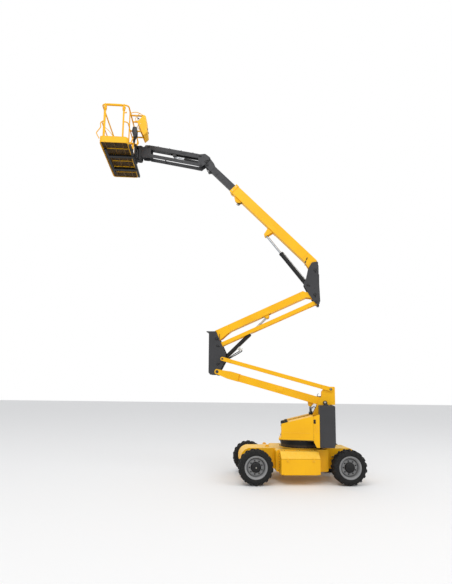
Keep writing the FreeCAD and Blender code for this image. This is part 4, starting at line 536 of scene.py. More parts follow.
def expanded_sheet_tree():
    """A stretched mesh panel on each point: rows of zigzag strands that meet at their bends."""
    tree, given = new_tree("expanded_sheet", [("Length", "NodeSocketFloat"), ("Width", "NodeSocketFloat"),
                                              ("Cell", "NodeSocketFloat"), ("Strand", "NodeSocketFloat"),
                                              ("Material", "NodeSocketMaterial")])

    def sums(operation, first, second):
        return add(tree, "ShaderNodeMath", {0: first, 1: second}, operation=operation).outputs[0]

    index = add(tree, "GeometryNodeInputIndex").outputs[0]
    parity = sums("MODULO", index, 2.0)
    side = sums("SUBTRACT", parity, 0.5)
    half = sums("MULTIPLY", given["Cell"], 0.5)
    pitch = sums("MULTIPLY", given["Cell"], 0.5)
    bends = sums("FLOOR", sums("DIVIDE", given["Length"], half), 0.0)
    start = add(tree, "ShaderNodeCombineXYZ", {"X": sums("MULTIPLY", given["Length"], -0.5)}).outputs[0]
    step = add(tree, "ShaderNodeCombineXYZ", {"X": half}).outputs[0]
    line = add(tree, "GeometryNodeMeshLine", {"Count": bends, "Start Location": start, "Offset": step})
    swing = add(tree, "ShaderNodeCombineXYZ", {"Y": sums("MULTIPLY", side, pitch)}).outputs[0]
    zigzag = add(tree, "GeometryNodeSetPosition", {"Geometry": line.outputs[0], "Offset": swing})
    curve = add(tree, "GeometryNodeMeshToCurve", {"Mesh": zigzag.outputs[0]})
    section = add(tree, "GeometryNodeCurvePrimitiveQuadrilateral", {"Width": given["Strand"],
                                                                    "Height": given["Strand"]})
    strand = add(tree, "GeometryNodeCurveToMesh", {"Curve": curve.outputs[0], "Profile Curve": section.outputs[0],
                                                   "Fill Caps": True})
    rows = sums("FLOOR", sums("DIVIDE", given["Width"], pitch), 0.0)
    low = add(tree, "ShaderNodeCombineXYZ", {"Y": sums("MULTIPLY", given["Width"], -0.5)}).outputs[0]
    rise = add(tree, "ShaderNodeCombineXYZ", {"Y": pitch}).outputs[0]
    column = add(tree, "GeometryNodeMeshLine", {"Count": rows, "Start Location": low, "Offset": rise})
    slide = add(tree, "ShaderNodeCombineXYZ", {"X": sums("MULTIPLY", parity, half)}).outputs[0]
    shifted = add(tree, "GeometryNodeSetPosition", {"Geometry": column.outputs[0], "Offset": slide})
    panel = add(tree, "GeometryNodeInstanceOnPoints", {"Points": shifted.outputs[0],
                                                       "Instance": strand.outputs[0]})
    panels = add(tree, "GeometryNodeInstanceOnPoints", {"Points": given["Geometry"],
                                                        "Instance": panel.outputs[0]})
    return end_tree(tree, panels.outputs[0], given["Material"])


RING_TREE, BOLT_TREE, SHEET_TREE = ring_tree(), bolt_tree(), expanded_sheet_tree()


def fasten(name, body, material, head_mm, places):
    """Bolts at (frame, point, facing) places on one body, as one plain mesh."""
    spots = bpy.data.meshes.new(name + "_spots")
    spots.from_pydata([tuple(place @ Vector(point)) for place, point, facing in places], [], [])
    ways = spots.attributes.new("facing", "FLOAT_VECTOR", "POINT")
    for k, (place, point, facing) in enumerate(places):
        ways.data[k].vector = (place.to_3x3() @ Vector(facing)).normalized()
    made = run_tree(BOLT_TREE, spots, {"Head": head_mm * 0.001, "Material": material})
    print(name, len(places), "bolts,", len(made.polygons), "faces")
    return finish_mesh(name, made, body, None)


print("three geometry trees made")
# %% [markdown]
# ## Tyres
# Each tyre is a steel-belted industrial tyre, moulded in one piece: a round carcass with a bead on the rim and two
# rows of heavy lugs, staggered half a pitch, that run over the shoulders. The carcass is a lathe outline; one lug
# is lofted through five sections that widen and drop towards the sidewall, and the ring tree repeats it.

# %% Tyres
LUGS = 18
CARCASS = [(236, -112), (252, -128), (300, -137), (338, -135), (364, -118), (377, -92), (379, -40), (379, 40),
           (377, 92), (364, 118), (338, 135), (300, 138), (272, 133), (266, 124), (266, 106), (236, 106)]
# sections of a lug: distance from the middle, degrees round the tyre, half width, top and root radius
LUG_SECTIONS = [(-6, 5.5, 13, 399, 372), (34, 3.4, 17, 400, 372), (84, 0.6, 22, 399, 370), (122, -1.0, 25, 388, 356),
                (138, -1.6, 22, 352, 334)]


def draw_lug(part, row_side, shift_degrees):
    """One lug of a shoulder row, lofted through its sections round the axle."""
    rings = []
    for y, degrees, half_width, top, root in LUG_SECTIONS:
        angle = math.radians(degrees + shift_degrees)
        ring = []
        for radius, across in ((root, -half_width - 3), (root, half_width + 3), (top, half_width), (top, -half_width)):
            spin = angle + across / radius
            ring.append(part.verts.new((0.001 * radius * math.sin(spin), 0.001 * row_side * y,
                                        0.001 * radius * math.cos(spin))))
        rings.append(ring)
    for first, second in zip(rings, rings[1:]):
        for k in range(4):
            j = (k + 1) % 4
            part.faces.new((first[k], first[j], second[j], second[k]))
    part.faces.new(rings[0][::-1])
    part.faces.new(rings[-1])


WHEELS = {}
for end, wheel_x in (("front", 1200), ("rear", -950)):
    for side_name, side in (("near", 1), ("far", -1)):
        WHEELS[f"{end}_{side_name}"] = (pitched(GROUND, wheel_x, 760 * side, 400)
                                        @ yawed(0 if side > 0 else 180))

for key, place in WHEELS.items():
    lug = bmesh.new()
    draw_lug(lug, 1, 0)
    draw_lug(lug, -1, 180 / LUGS)
    bmesh.ops.recalc_face_normals(lug, faces=lug.faces)
    lug_mesh = bpy.data.meshes.new("lug")
    lug.to_mesh(lug_mesh)
    lug.free()
    lugs = run_tree(RING_TREE, lug_mesh, {"Count": LUGS, "Material": TYRE})
    lugs.transform(place @ Matrix.Scale(1000, 4))
    tyre = bmesh.new()
    tyre.from_mesh(lugs)
    bpy.data.meshes.remove(lugs)
    lathe(tyre, place, (0, 0, 0), CARCASS, 72)
    # moulded rib on the sidewall
    lathe(tyre, place, (0, 0, 0), [(306, 136.5), (313, 136.5), (312, 139.6), (307, 139.6)], 72)
    finish_piece("tyre_" + key, tyre, "wheel_" + key, TYRE, ("tyre_" + key,))

# %% [markdown]
# ## Rims, hubs and wheel nuts
# The rim is rolled from steel strip, with a pressed disc welded inside it and painted silver grey. The disc sits
# deep, in shade, and the planetary drive's black cap comes through its centre. The nuts clamp the disc to the drive.

# %% Rims and hubs
RIM_BARREL = [(216, -94), (216, -112), (236, -118), (236, 106), (262, 107), (263, 114), (260, 121), (252, 126),
              (236, 122), (222, 112), (214, 98), (206, 60), (204, -10)]
DISC = [(96, 28), (96, 46), (116, 52), (150, 55), (176, 50), (196, 32), (206, -6), (206, -24), (192, 14),
        (170, 36), (140, 40), (110, 34)]
HUB = [(0, 124), (26, 124), (40, 121), (46, 113), (70, 111), (88, 105), (102, 99), (110, 90), (113, 72), (118, 66),
       (118, 50), (88, 46), (82, -20), (36, -20), (36, 4), (0, 4)]
for key, place in WHEELS.items():
    rim = bmesh.new()
    lathe(rim, place, (0, 0, 0), RIM_BARREL, 72)
    finish_piece("rim_" + key, rim, "wheel_" + key, RIM, ("rim_" + key,))
    disc = bmesh.new()
    lathe(disc, place, (0, 0, 0), DISC, 72)
    # pressed stiffening ribs between the nuts
    for k in range(9):
        turned = place @ Matrix.Rotation(math.tau * (k + 0.5) / 9, 4, "Y")
        slab(disc, turned, (-9, 50, 128), (9, 57, 176), 3)
    finish_piece("disc_" + key, disc, "wheel_" + key, DISC_GREY)
    hub = bmesh.new()
    lathe(hub, place, (0, 0, 0), HUB, 48)
    # the drive's drain and fill plugs
    for angle in (0.6, 0.6 + math.pi):
        lathe(hub, place, (58 * math.cos(angle), 108, 58 * math.sin(angle)), [(0, 10), (7, 9), (9, 6), (9, 0), (0, 0)], 10)
    finish_piece("hub_" + key, hub, "wheel_" + key, BLACK)
    nuts = [(place, (146 * math.cos(math.tau * k / 9), 55, 146 * math.sin(math.tau * k / 9)), (0, 1, 0))
            for k in range(9)]
    fasten("wheel_nuts_" + key, "wheel_" + key, BLACK, 12, nuts)
    caps = [(place, (94 * math.cos(math.tau * k / 8), 102, 94 * math.sin(math.tau * k / 8)), (0, 1, 0))
            for k in range(8)]
    fasten("hub_screws_" + key, "wheel_" + key, BLACK, 6, caps)
    if key.startswith("front"):
        plug = bmesh.new()
        lathe(plug, place, (0, 0, 0), [(0, 131), (9, 130), (15, 127), (17, 122), (0, 120)], 20)
        finish_piece("hub_plug_" + key, plug, "wheel_" + key, ZINC)

# %% [markdown]
# ## Chassis hardware
# The slewing ring is bolted to a machined flange on the deck. Lifting eyes and tie-down loops are cut from plate
# and welded on. Each battery locker has a lid that lifts on a long hinge, draw latches, and a step with a studded
# tread. Hoses feed the rear drive motors through bulkhead fittings.

# %% Chassis hardware
deck = bmesh.new()
lathe(deck, GROUND, (0, 0, 0), [(466, 762), (524, 762), (524, 774), (518, 778), (466, 778)], 72, "Z")
for x, y in ((828, 60), (828, -395)):
    cut_plate(deck, pitched(GROUND, x, y, 762), [(-44, -2), (44, -2), (44, 16), (26, 40), (-26, 40), (-44, 16)],
              -7, 14, 3)
    slab(deck, pitched(GROUND, x, y, 762), (-52, -24, -1), (52, 24, 7), 2)
finish_piece("deck_flange_and_eyes", deck, "chassis", YELLOW)
ring_bolts = [(GROUND, (496 * math.cos(math.tau * k / 32), 496 * math.sin(math.tau * k / 32), 779), (0, 0, 1))
              for k in range(32)]
fasten("ring_bolts", "chassis", BLACK, 10, ring_bolts)
ring_marks = bmesh.new()
# seal lips above and below the ring's gear guard, and its grease nipples
lathe(ring_marks, GROUND, (0, 0, 0), [(469, 792), (474, 794), (474, 800), (469, 802)], 72, "Z")
lathe(ring_marks, GROUND, (0, 0, 0), [(469, 832), (475, 834), (475, 844), (469, 846)], 72, "Z")
for k in range(8):
    turned = GROUND @ yawed(45 * k + 10)
    lathe(ring_marks, turned, (468, 0, 817), [(0, 14), (4, 13), (6, 8), (6, 0), (0, 0)], 8, "X")
finish_piece("ring_seals", ring_marks, "chassis", BLACK)

tow = bmesh.new()
for x, y, way in ((-1232, 210, -1), (-1232, -210, -1)):
    place = pitched(GROUND, x, y, 470)
    outline = [(-2 * way, -46), (38 * way, -30), (50 * way, 0), (38 * way, 30), (-2 * way, 46)]
    if way < 0:
        outline.reverse()
    cut_plate(tow, place, outline, -9, 18, 3)
    slab(tow, place, (min(-6 * way, 6 * way), -34, -60), (max(-6 * way, 6 * way), 34, 60), 3)
finish_piece("tie_down_plates", tow, "chassis", YELLOW)

for side_name, side in (("near", 1), ("far", -1)):
    box = GROUND @ (Matrix() if side > 0 else Matrix.Scale(-1, 4, (0, 1, 0)))
    lid_shadow = bmesh.new()
    # painted shadow: dark strips under the lid's edge and at its rear end stand for the shade in the lid's gap
    slab(lid_shadow, box, (-264, 610, 590), (632, 881.2, 594), 0.6)
    slab(lid_shadow, box, (-262.8, 604, 560), (-261, 880, 592), 0.4)
    finish_piece("locker_lid_painted_shadow_" + side_name, lid_shadow, "chassis", HOSE)
    latch = bmesh.new()
    for x in (-110, 480):
        slab(latch, box, (x - 26, 878, 520), (x + 26, 886, 584), 2)
        slab(latch, box, (x - 14, 884, 534), (x + 14, 893, 612), 3)
        lathe(latch, box, (x - 30, 888, 548), [(0, 60), (5, 60), (5, 0), (0, 0)], 10, "X")
    finish_piece("locker_latches_" + side_name, latch, "chassis", YELLOW)
    hinge = bmesh.new()
    for x in (-200, 150, 500):
        lathe(hinge, box, (x, 612, 748), [(0, 90), (8, 90), (8, 0), (0, 0)], 12, "X")
        slab(hinge, box, (x, 612, 741), (x + 90, 668, 746), 1)
    # the folded flange and angle brackets that hold the locker to the waist
    slab(hinge, box, (630, 604, 300), (637, 690, 700), 2)
    for z in (330, 500, 670):
        slab(hinge, box, (630, 606, z - 26), (652, 640, z + 26), 3)
    finish_piece("locker_hinges_" + side_name, hinge, "chassis", YELLOW)
    bolts = [(box, (637, 668, z), (1, 0, 0)) for z in (320, 380, 440, 500, 560, 620, 680)]
    bolts += [(box, (x, 655, 746), (0, 0, 1)) for x in (-185, -125, 165, 225, 515, 575)]
    fasten("locker_bolts_" + side_name, "chassis", BLACK, 8, bolts)
    step = bmesh.new()
    slab(step, box, (-190, 824, 266), (556, 878, 271), 1)
    for k in range(24):
        lathe(step, box, (-172 + 31 * k, 851, 270), [(0, 4), (6, 3), (8, 0), (0, -1)], 8, "Z")
    finish_piece("locker_step_tread_" + side_name, step, "chassis", HOSE)
    feed = bmesh.new()
    for k in range(2):
        hose(feed, box, [(-700 - 50 * k, 326, 560), (-740 - 40 * k, 372, 566), (-820 - 20 * k, 450, 560),
                         (-880 + 10 * k, 500, 520), (-905 + 30 * k, 540, 500)], 11)
    for k in range(2):
        hose(feed, box, [(1000 - 50 * k, 326, 540), (1040 - 40 * k, 380, 556), (1098, 470, 552), (1130 + 20 * k, 500, 500),
                         (1140 + 20 * k, 505, 470)], 9)
    finish_piece("drive_hoses_" + side_name, feed, "chassis", HOSE)
    joints = bmesh.new()
    for k in range(2):
        lathe(joints, box, (-905 + 30 * k, 540, 496), [(0, 14), (15, 14), (15, 0), (13, -8), (0, -8)], 6, "Z")
        lathe(joints, box, (-700 - 50 * k, 328, 560), [(0, 12), (16, 12), (16, 0), (0, -2)], 6)
        lathe(joints, box, (1000 - 50 * k, 328, 540), [(0, 12), (14, 12), (14, 0), (0, -2)], 6)
    finish_piece("drive_fittings_" + side_name, joints, "chassis", ZINC)

# %% [markdown]
# ## Pin washers, heads and keepers
# Every main pin is turned bar, held by a keeper plate in a slot and two screws, so it can't spin or walk out. A
# washer ring fills the gap to the plate. The caps at the mast are larger and catch the light.

# %% Pins
def pin_hardware(parts, place, x, z, face, radius, keeper_degrees, side=1):
    """Washer ring, dished end and keeper of a pin whose plate's outer face is at a distance across."""
    rings, keepers, screws = parts
    across = place @ (Matrix() if side > 0 else Matrix.Scale(-1, 4, (0, 1, 0)))
    lathe(rings, across, (x, 0, z), [(radius - 2, face - 1), (radius + 12, face - 1), (radius + 12, face + 4),
                                     (radius + 9, face + 6), (radius - 2, face + 6)], 32)
    lathe(rings, across, (x, 0, z), [(0, face + 7.4), (radius * 0.45, face + 7.4), (radius * 0.55, face + 9.4),
                                     (radius - 4, face + 9.4), (radius, face + 7), (radius, face), (0, face)], 32)
    turned = across @ Matrix.Translation((x, 0, z)) @ Matrix.Rotation(math.radians(keeper_degrees), 4, "Y")
    reach = radius + 24
    cut_plate(keepers, turned, [(radius * 0.55, -13), (reach + 12, -13), (reach + 22, 0), (reach + 12, 13),
                                (radius * 0.55, 13)], face + 5.5, 6, 1.5)
    screws.append((turned, (reach + 4, face + 11.6, 0), (0, 1, 0)))


PIN_ROWS = [
    # name, body, frame, list of (x, z, outer face, radius, keeper direction)
    ("mast", "turret", TURRET, [(-330, 1050, 148, 20, 90)]),
    ("middle", "middle_knuckle", MIDDLE, [(-5, 195, 124, 20, 200), (35, 863, 124, 28, 150), (5, 675, 124, 20, 160)]),
    ("upper", "upper_knuckle", TOP, [(0, 0, 124, 28, 100), (-30, -188, 124, 20, 80), (173, 254, 124, 20, 150),
                                     (-15, 644, 124, 28, 100)]),
    ("level", "level_knuckle", LEVEL, [(0, 0, 95, 28, 210), (182, 186, 95, 20, 150)]),
    ("jib_end", "jib_end_bracket", END, [(0, 0, 95, 20, 30)]),
]
for name, body, place, pins in PIN_ROWS:
    parts = (bmesh.new(), bmesh.new(), [])
    for side in (1, -1):
        for x, z, face, radius, direction in pins:
            pin_hardware(parts, place, x, z, face, radius, direction, side)
    finish_piece(f"pin_washers_{name}", parts[0], body, BLACK)
    finish_piece(f"pin_keepers_{name}", parts[1], body, BLACK)
    fasten(f"keeper_screws_{name}", body, BLACK, 6, parts[2])

caps = bmesh.new()
shine = bmesh.new()
for side in (1, -1):
    across = TURRET @ (Matrix() if side > 0 else Matrix.Scale(-1, 4, (0, 1, 0)))
    lathe(caps, across, (-620, 0, 1840), [(30, 147), (52, 147), (52, 157), (48, 161), (38, 161), (34, 158), (30, 158)], 40)
    lathe(shine, across, (-620, 0, 1840), [(0, 165), (14, 164), (24, 161), (31, 156), (31, 149), (0, 149)], 32)
    lathe(caps, across, (-760, 0, 2170), [(19, 191), (31, 191), (31, 199), (27, 202), (19, 202)], 32)
    lathe(shine, across, (-760, 0, 2170), [(0, 204), (12, 203), (19, 199), (19, 192), (0, 192)], 24)
finish_piece("mast_pin_rings", caps, "turret", BLACK)
finish_piece("mast_pin_caps", shine, "turret", ZINC)
middle_caps = bmesh.new()
for side in (1, -1):
    across = MIDDLE @ (Matrix() if side > 0 else Matrix.Scale(-1, 4, (0, 1, 0)))
    lathe(middle_caps, across, (0, 0, 0), [(0, 166), (16, 166), (20, 163), (38, 163), (40, 160), (40, 155), (0, 155)], 32)
    lathe(middle_caps, across, (-140, 0, 330), [(0, 200), (12, 200), (26, 198), (27, 191), (0, 191)], 28)
finish_piece("ear_pin_caps", middle_caps, "middle_knuckle", DARK)

# %% [markdown]
# ## Turret and covers
# The covers are pressed steel skins that swing up on a hinge by the mast. Each has a moulded rubber-topped latch at
# its front and folded seams. The pillar has a quarter-turn lock. Beside the mast's front edge a grey bulkhead plate
# holds the hose unions of the lift circuit, and short hoses loop from it to the turret floor.

# %% Turret hardware
CROWN_SLOPE = math.degrees(math.atan2(196, 740))
for side_name, side in (("near", 1), ("far", -1)):
    half = TURRET @ (Matrix() if side > 0 else Matrix.Scale(-1, 4, (0, 1, 0)))
    # frame on the cover's crown, with +X forward and down the slope
    crown = pitched(half, 428, 0, 1352, -CROWN_SLOPE)
    latch = bmesh.new()
    if side > 0:
        slab(latch, crown, (-158, 580, 1), (10, 716, 34), 6)
        slab(latch, crown, (-150, 590, 32), (-86, 706, 76), 10)
        slab(latch, crown, (-78, 590, 32), (2, 706, 66), 10)
    slab(latch, half, (427, 612, 1288), (437, 694, 1340), 4)
    slab(latch, half, (435, 630, 1300), (443, 676, 1326), 3)
    finish_piece("cover_latch_" + side_name, latch, "cover_" + side_name, HOSE)
    trim = bmesh.new()
    # edge seal along the cover's front corner and foot
    slab(trim, half, (427, 170, 1042), (430.5, 178, 1316), 1)
    slab(trim, half, (427, 738, 1042), (430.5, 746, 1316), 1)
    slab(trim, half, (-300, 749.2, 988), (470, 751, 996), 0.5)
    finish_piece("cover_seals_" + side_name, trim, "cover_" + side_name, HOSE)
    fold = bmesh.new()
    # pressed crease across the panel and a long rib under the crown
    slab(fold, half, (-250, 748, 1150), (400, 752, 1158), 2)
    slab(fold, pitched(half, 428, 0, 1352, -CROWN_SLOPE), (-700, 176, -1), (-60, 196, 5), 2.4)
    slab(fold, pitched(half, 428, 0, 1352, -CROWN_SLOPE), (-700, 420, -1), (-60, 440, 5), 2.4)
    finish_piece("cover_ribs_" + side_name, fold, "cover_" + side_name, YELLOW)
    lock = bmesh.new()
    lathe(lock, half, (-338, 749, 1444), [(0, 14), (18, 14), (25, 9), (27, 0), (0, 0)], 24)
    slab(lock, half, (-364, 749, 1376), (-312, 758, 1420), 5)
    slab(lock, half, (-344, 756, 1380), (-332, 766, 1456), 2)
    finish_piece("pillar_lock_" + side_name, lock, "turret", BLACK)
    vents = bmesh.new()
    for k in range(7):
        cut_plate(vents, pitched(half, -440, 0, 1180 + 26 * k), [(8, 0), (104, 0), (100, 9), (12, 9)], 749, 4, 1)
    finish_piece("pillar_louvres_" + side_name, vents, "turret", YELLOW)

weight = bmesh.new()
for y in (-560, 560):
    cut_plate(weight, pitched(TURRET, -620, y, 1786), [(-46, -2), (46, -2), (46, 12), (24, 40), (-24, 40), (-46, 12)],
              -9, 18, 4)
finish_piece("counterweight_eyes", weight, "turret", DARK)
weight_bolts = [(TURRET, (-560 - 90 * k, y, 1787), (0, 0, 1)) for k in (0, 2) for y in (-660, -300, 300, 660)]
weight_bolts += [(TURRET, (-805, y, z), (-1, 0, 0)) for y in (-600, -240, 240, 600) for z in (1010, 1640)]
fasten("counterweight_bolts", "turret", BLACK, 14, weight_bolts)

guard = bmesh.new()
cut_plate(guard, TURRET, [(-300, 1585), (-238, 1600), (-238, 1732), (-300, 1732)], 98, 6, 1)
slab(guard, TURRET, (-336, 98, 1600), (-296, 134, 1610), 1)
slab(guard, TURRET, (-336, 98, 1700), (-296, 134, 1710), 1)
finish_piece("hose_bulkhead", guard, "turret", GUARD_GREY)
loops = bmesh.new()
for k in range(3):
    x = -252 - 18 * k
    hose(loops, TURRET, [(x, 106, 1722 - 44 * k), (x - 4, 126, 1712 - 44 * k), (x - 16, 130, 1640 - 40 * k),
                         (x - 30, 128, 1400), (x - 20, 126, 1180), (x - 10, 126, 1000)], 9)
hose(loops, TURRET, [(-300, 116, 1700), (-338, 128, 1736), (-392, 132, 1716), (-430, 132, 1640), (-470, 130, 1400),
                     (-500, 128, 1100), (-520, 128, 990)], 10)
finish_piece("turret_hoses", loops, "turret", HOSE)
unions = bmesh.new()
for k in range(3):
    lathe(unions, TURRET, (-252 - 18 * k, 88, 1722 - 44 * k), [(0, 24), (11, 24), (13, 18), (13, 0), (0, 0)], 6)
finish_piece("turret_unions", unions, "turret", ZINC)

# %% [markdown]
# ## Power units under the covers
# With a cover up, the pump motor, its tank and the battery cables show. The plain CAD blocks keep their size and
# get a motor's fins, a filler cap, a sight glass, valve bodies and cables.

# %% Power units
for side_name, side in (("near", 1), ("far", -1)):
    half = TURRET @ (Matrix() if side > 0 else Matrix.Scale(-1, 4, (0, 1, 0)))
    unit = bmesh.new()
    for k in range(9):
        slab(unit, half, (-190 + 22 * k, 604, 1000), (-182 + 22 * k, 612, 1210), 1)
    lathe(unit, half, (150, 420, 1224), [(0, 34), (40, 34), (44, 28), (44, 6), (50, 4), (50, 0), (0, 0)], 28, "Z")
    lathe(unit, half, (-80, 350, 1224), [(0, 70), (54, 70), (58, 62), (58, 8), (64, 4), (64, 0), (0, 0)], 32, "Z")
    finish_piece("power_fins_" + side_name, unit, "turret", BLACK)
    valves = bmesh.new()
    for k in range(4):
        slab(valves, half, (30 + 48 * k, 500, 1222), (66 + 48 * k, 570, 1262), 3)
        lathe(valves, half, (48 + 48 * k, 535, 1260), [(0, 44), (11, 44), (13, 40), (13, 0), (0, 0)], 14, "Z")
    finish_piece("power_valves_" + side_name, valves, "turret", ZINC)
    cables = bmesh.new()
    for k in range(4):
        hose(cables, half, [(48 + 48 * k, 535, 1300), (48 + 44 * k, 540, 1330), (20 + 36 * k, 470, 1340 - 12 * k),
                            (-60, 330 + 14 * k, 1310), (-130 - 12 * k, 240, 1180), (-150 - 12 * k, 215, 1010)], 7)
    finish_piece("power_cables_" + side_name, cables, "turret", HOSE)

# %% [markdown]
# ## Arms and tie bars
# The arms are folded and welded box sections. Weld beads run where the end plates meet the tube, the clamps of a
# hose run are screwed along one side, and a rubber stop sits on top near the root, where the tie bars come down.

# %% Arms
def weld(piece_mesh, place, points, radius=3.5):
    """A fillet weld's bead along a line."""
    hose(piece_mesh, place, points, radius, 6, 1)


def mirrored(place, side):
    return place @ (Matrix() if side > 0 else Matrix.Scale(-1, 4, (0, 1, 0)))


stop = bmesh.new()
slab(stop, LOWER, (112, 44, 94), (232, 116, 112), 4)
slab(stop, LOWER, (122, 54, 110), (166, 106, 124), 5)
hose(stop, LOWER, [(214, 98, 108), (224, 98, 134), (218, 98, 160), (200, 98, 168)], 6)
finish_piece("lower_arm_stop", stop, "lower_arm", HOSE)

beads = bmesh.new()
for side in (1, -1):
    half = mirrored(LOWER, side)
    weld(beads, half, [(2230, 155, -98), (2230, 155, 98)], 3)
    weld(beads, half, [(150, 123, 88), (92, 123, 78)])
    weld(beads, half, [(2480, 155, 101), (2240, 155, 101)])
    # raised patch plate over the arm's splice
    cut_plate(beads, half, [(1080, -60), (1220, -60), (1250, -30), (1250, 30), (1220, 60), (1080, 60), (1050, 30),
                            (1050, -30)], 121, 5, 1.5)
finish_piece("lower_arm_welds", beads, "lower_arm", YELLOW)
run = bmesh.new()
for k in range(3):
    hose(run, LOWER, [(300, -112, 20 - 22 * k), (340, -132, 22 - 22 * k), (420, -133, 22 - 22 * k),
                      (1200, -133, 22 - 22 * k), (2050, -133, 22 - 22 * k), (2120, -133, 24 - 22 * k),
                      (2180, -112, 30 - 22 * k)], 8)
finish_piece("lower_arm_hoses", run, "lower_arm", HOSE)
clips = bmesh.new()
for x in (420, 820, 1220, 1620, 2020):
    slab(clips, LOWER, (x - 18, -144, -38), (x + 18, -121, 38), 3)
finish_piece("lower_arm_clamps", clips, "lower_arm", BLACK)
fasten("lower_arm_clamp_screws", "lower_arm", ZINC, 6,
       [(LOWER, (x, -144, 0), (0, -1, 0)) for x in (420, 820, 1220, 1620, 2020)])

for name, place, length, inner in (("lower_tie", LOWER_TIE, 2810, 154), ("upper_tie", UPPER_TIE, -2775, 62)):
    ends = bmesh.new()
    way = 1 if length > 0 else -1
    for side in (1, -1):
        half = mirrored(place, side)
        for x in (0, length):
            lathe(ends, half, (x, 0, 0), [(22, inner + 35), (36, inner + 35), (36, inner + 38), (33, inner + 39.5),
                                         (22, inner + 39.5)], 32)
        weld(ends, half, [(235 * way, inner + 37, -44), (235 * way, inner + 37, 44)])
        weld(ends, half, [(length - 235 * way, inner + 37, -44), (length - 235 * way, inner + 37, 44)])
    finish_piece(name + "_eye_rings", ends, name, YELLOW)

beads = bmesh.new()
for side in (1, -1):
    half = mirrored(UPPER, side)
    weld(beads, half, [(-430, 101, 36), (-430, 101, 214)])
    weld(beads, half, [(-2445, 101, 36), (-2445, 101, 214)])
    cut_plate(beads, half, [(-1560, 44), (-1310, 44), (-1350, 104), (-1520, 104)], 99, 5, 1.5)
    cut_plate(beads, half, [(-2300, 44), (-2200, 44), (-2216, 60), (-2284, 60)], 99, 5, 1.5)
finish_piece("upper_arm_welds", beads, "upper_arm", YELLOW)
slots = bmesh.new()
for side in (1, -1):
    half = mirrored(UPPER, side)
    hose(slots, half, [(-122, 99, 86), (-104, 101, 40), (-70, 99, -36)], 7)
finish_piece("upper_arm_cables", slots, "upper_arm", HOSE)
run = bmesh.new()
for k in range(3):
    hose(run, UPPER, [(-480, -92, 150 - 22 * k), (-520, -110, 150 - 22 * k), (-640, -111, 150 - 22 * k),
                      (-1400, -111, 150 - 22 * k), (-2250, -111, 150 - 22 * k), (-2330, -110, 150 - 22 * k),
                      (-2370, -92, 150 - 22 * k)], 8)
finish_piece("upper_arm_hoses", run, "upper_arm", HOSE)
clips = bmesh.new()
for x in (640, 1060, 1480, 1900, 2250):
    slab(clips, UPPER, (-x - 18, -122, 90), (-x + 18, -99, 166), 3)
finish_piece("upper_arm_clamps", clips, "upper_arm", BLACK)
fasten("upper_arm_clamp_screws", "upper_arm", ZINC, 6,
       [(UPPER, (-x, -122, 128), (0, -1, 0)) for x in (640, 1060, 1480, 1900, 2250)])

# %% [markdown]
# ## Knuckles
# The knuckles are flame-cut plates with bosses welded round the pin holes, drilled spare holes drawn as black discs
# of painted shade, and rubber bumpers on their edges. Hoses pass inside them and show between the arms.

# %% Knuckles
plates = bmesh.new()
for side in (1, -1):
    half = mirrored(MIDDLE, side)
    lathe(plates, half, (143, 0, 975), [(0, 126.5), (17, 126.5), (20, 124), (20, 123), (0, 123)], 24)
    lathe(plates, half, (60, 0, 420), [(0, 126), (12, 126), (14, 124), (14, 123), (0, 123)], 20)
    weld(plates, half, [(222, 109, 30), (222, 109, 980)])
    slab(plates, half, (236, 70, 1040), (306, 122, 1066), 5)
finish_piece("middle_knuckle_fittings", plates, "middle_knuckle", DARK)
hole_shade_and_rubber = bmesh.new()
for side in (1, -1):
    half = mirrored(MIDDLE, side)
    # black disc on the boss: painted shade standing for a drilled spare hole
    lathe(hole_shade_and_rubber, half, (143, 0, 975), [(0, 127.2), (11, 127.2), (11, 126), (0, 126)], 20)
    slab(hole_shade_and_rubber, half, (-62, -12, -96), (20, 12, -70), 5)
for k in range(3):
    hose(hole_shade_and_rubber, MIDDLE, [(-60, -60 + 26 * k, 250), (20, -60 + 26 * k, 330), (90, -60 + 26 * k, 480),
                         (110, -60 + 26 * k, 640), (90, -60 + 26 * k, 760), (128, -60 + 26 * k, 900)], 8)
finish_piece("middle_knuckle_hoses_and_hole_shade", hole_shade_and_rubber, "middle_knuckle", HOSE)

plates = bmesh.new()
for side in (1, -1):
    half = mirrored(TOP, side)
    lathe(plates, half, (-3, 0, 171), [(0, 126.5), (17, 126.5), (20, 124), (20, 123), (0, 123)], 24)
    weld(plates, half, [(-109, 109, 120), (-109, 109, 520)])
    # stiffening rib along the rear edge
    slab(plates, half, (-104, 122, 300), (-92, 134, 760), 3)
finish_piece("upper_knuckle_fittings", plates, "upper_knuckle", DARK)
hole_shade_and_rubber = bmesh.new()
for side in (1, -1):
    half = mirrored(TOP, side)
    # black disc on the boss: painted shade standing for a drilled spare hole
    lathe(hole_shade_and_rubber, half, (-3, 0, 171), [(0, 127.2), (9, 127.2), (9, 126), (0, 126)], 18)
slab(hole_shade_and_rubber, TOP, (-104, -100, -292), (-44, 100, -262), 6)
for k in range(4):
    hose(hole_shade_and_rubber, TOP, [(-60, -66 + 44 * k, 60), (-84, -66 + 44 * k, 100), (-60, -66 + 44 * k, 300),
                      (-70, -66 + 44 * k, 520), (-60, -66 + 44 * k, 600)], 8)
finish_piece("upper_knuckle_hoses_and_hole_shade", hole_shade_and_rubber, "upper_knuckle", HOSE)

# %% [markdown]
# ## Cylinders
# A hydraulic cylinder is a honed tube with a welded base and a screwed gland. The gland has spanner flats and a
# wiper ring, and two steel lines run along the barrel from a valve block at the base to the gland port.

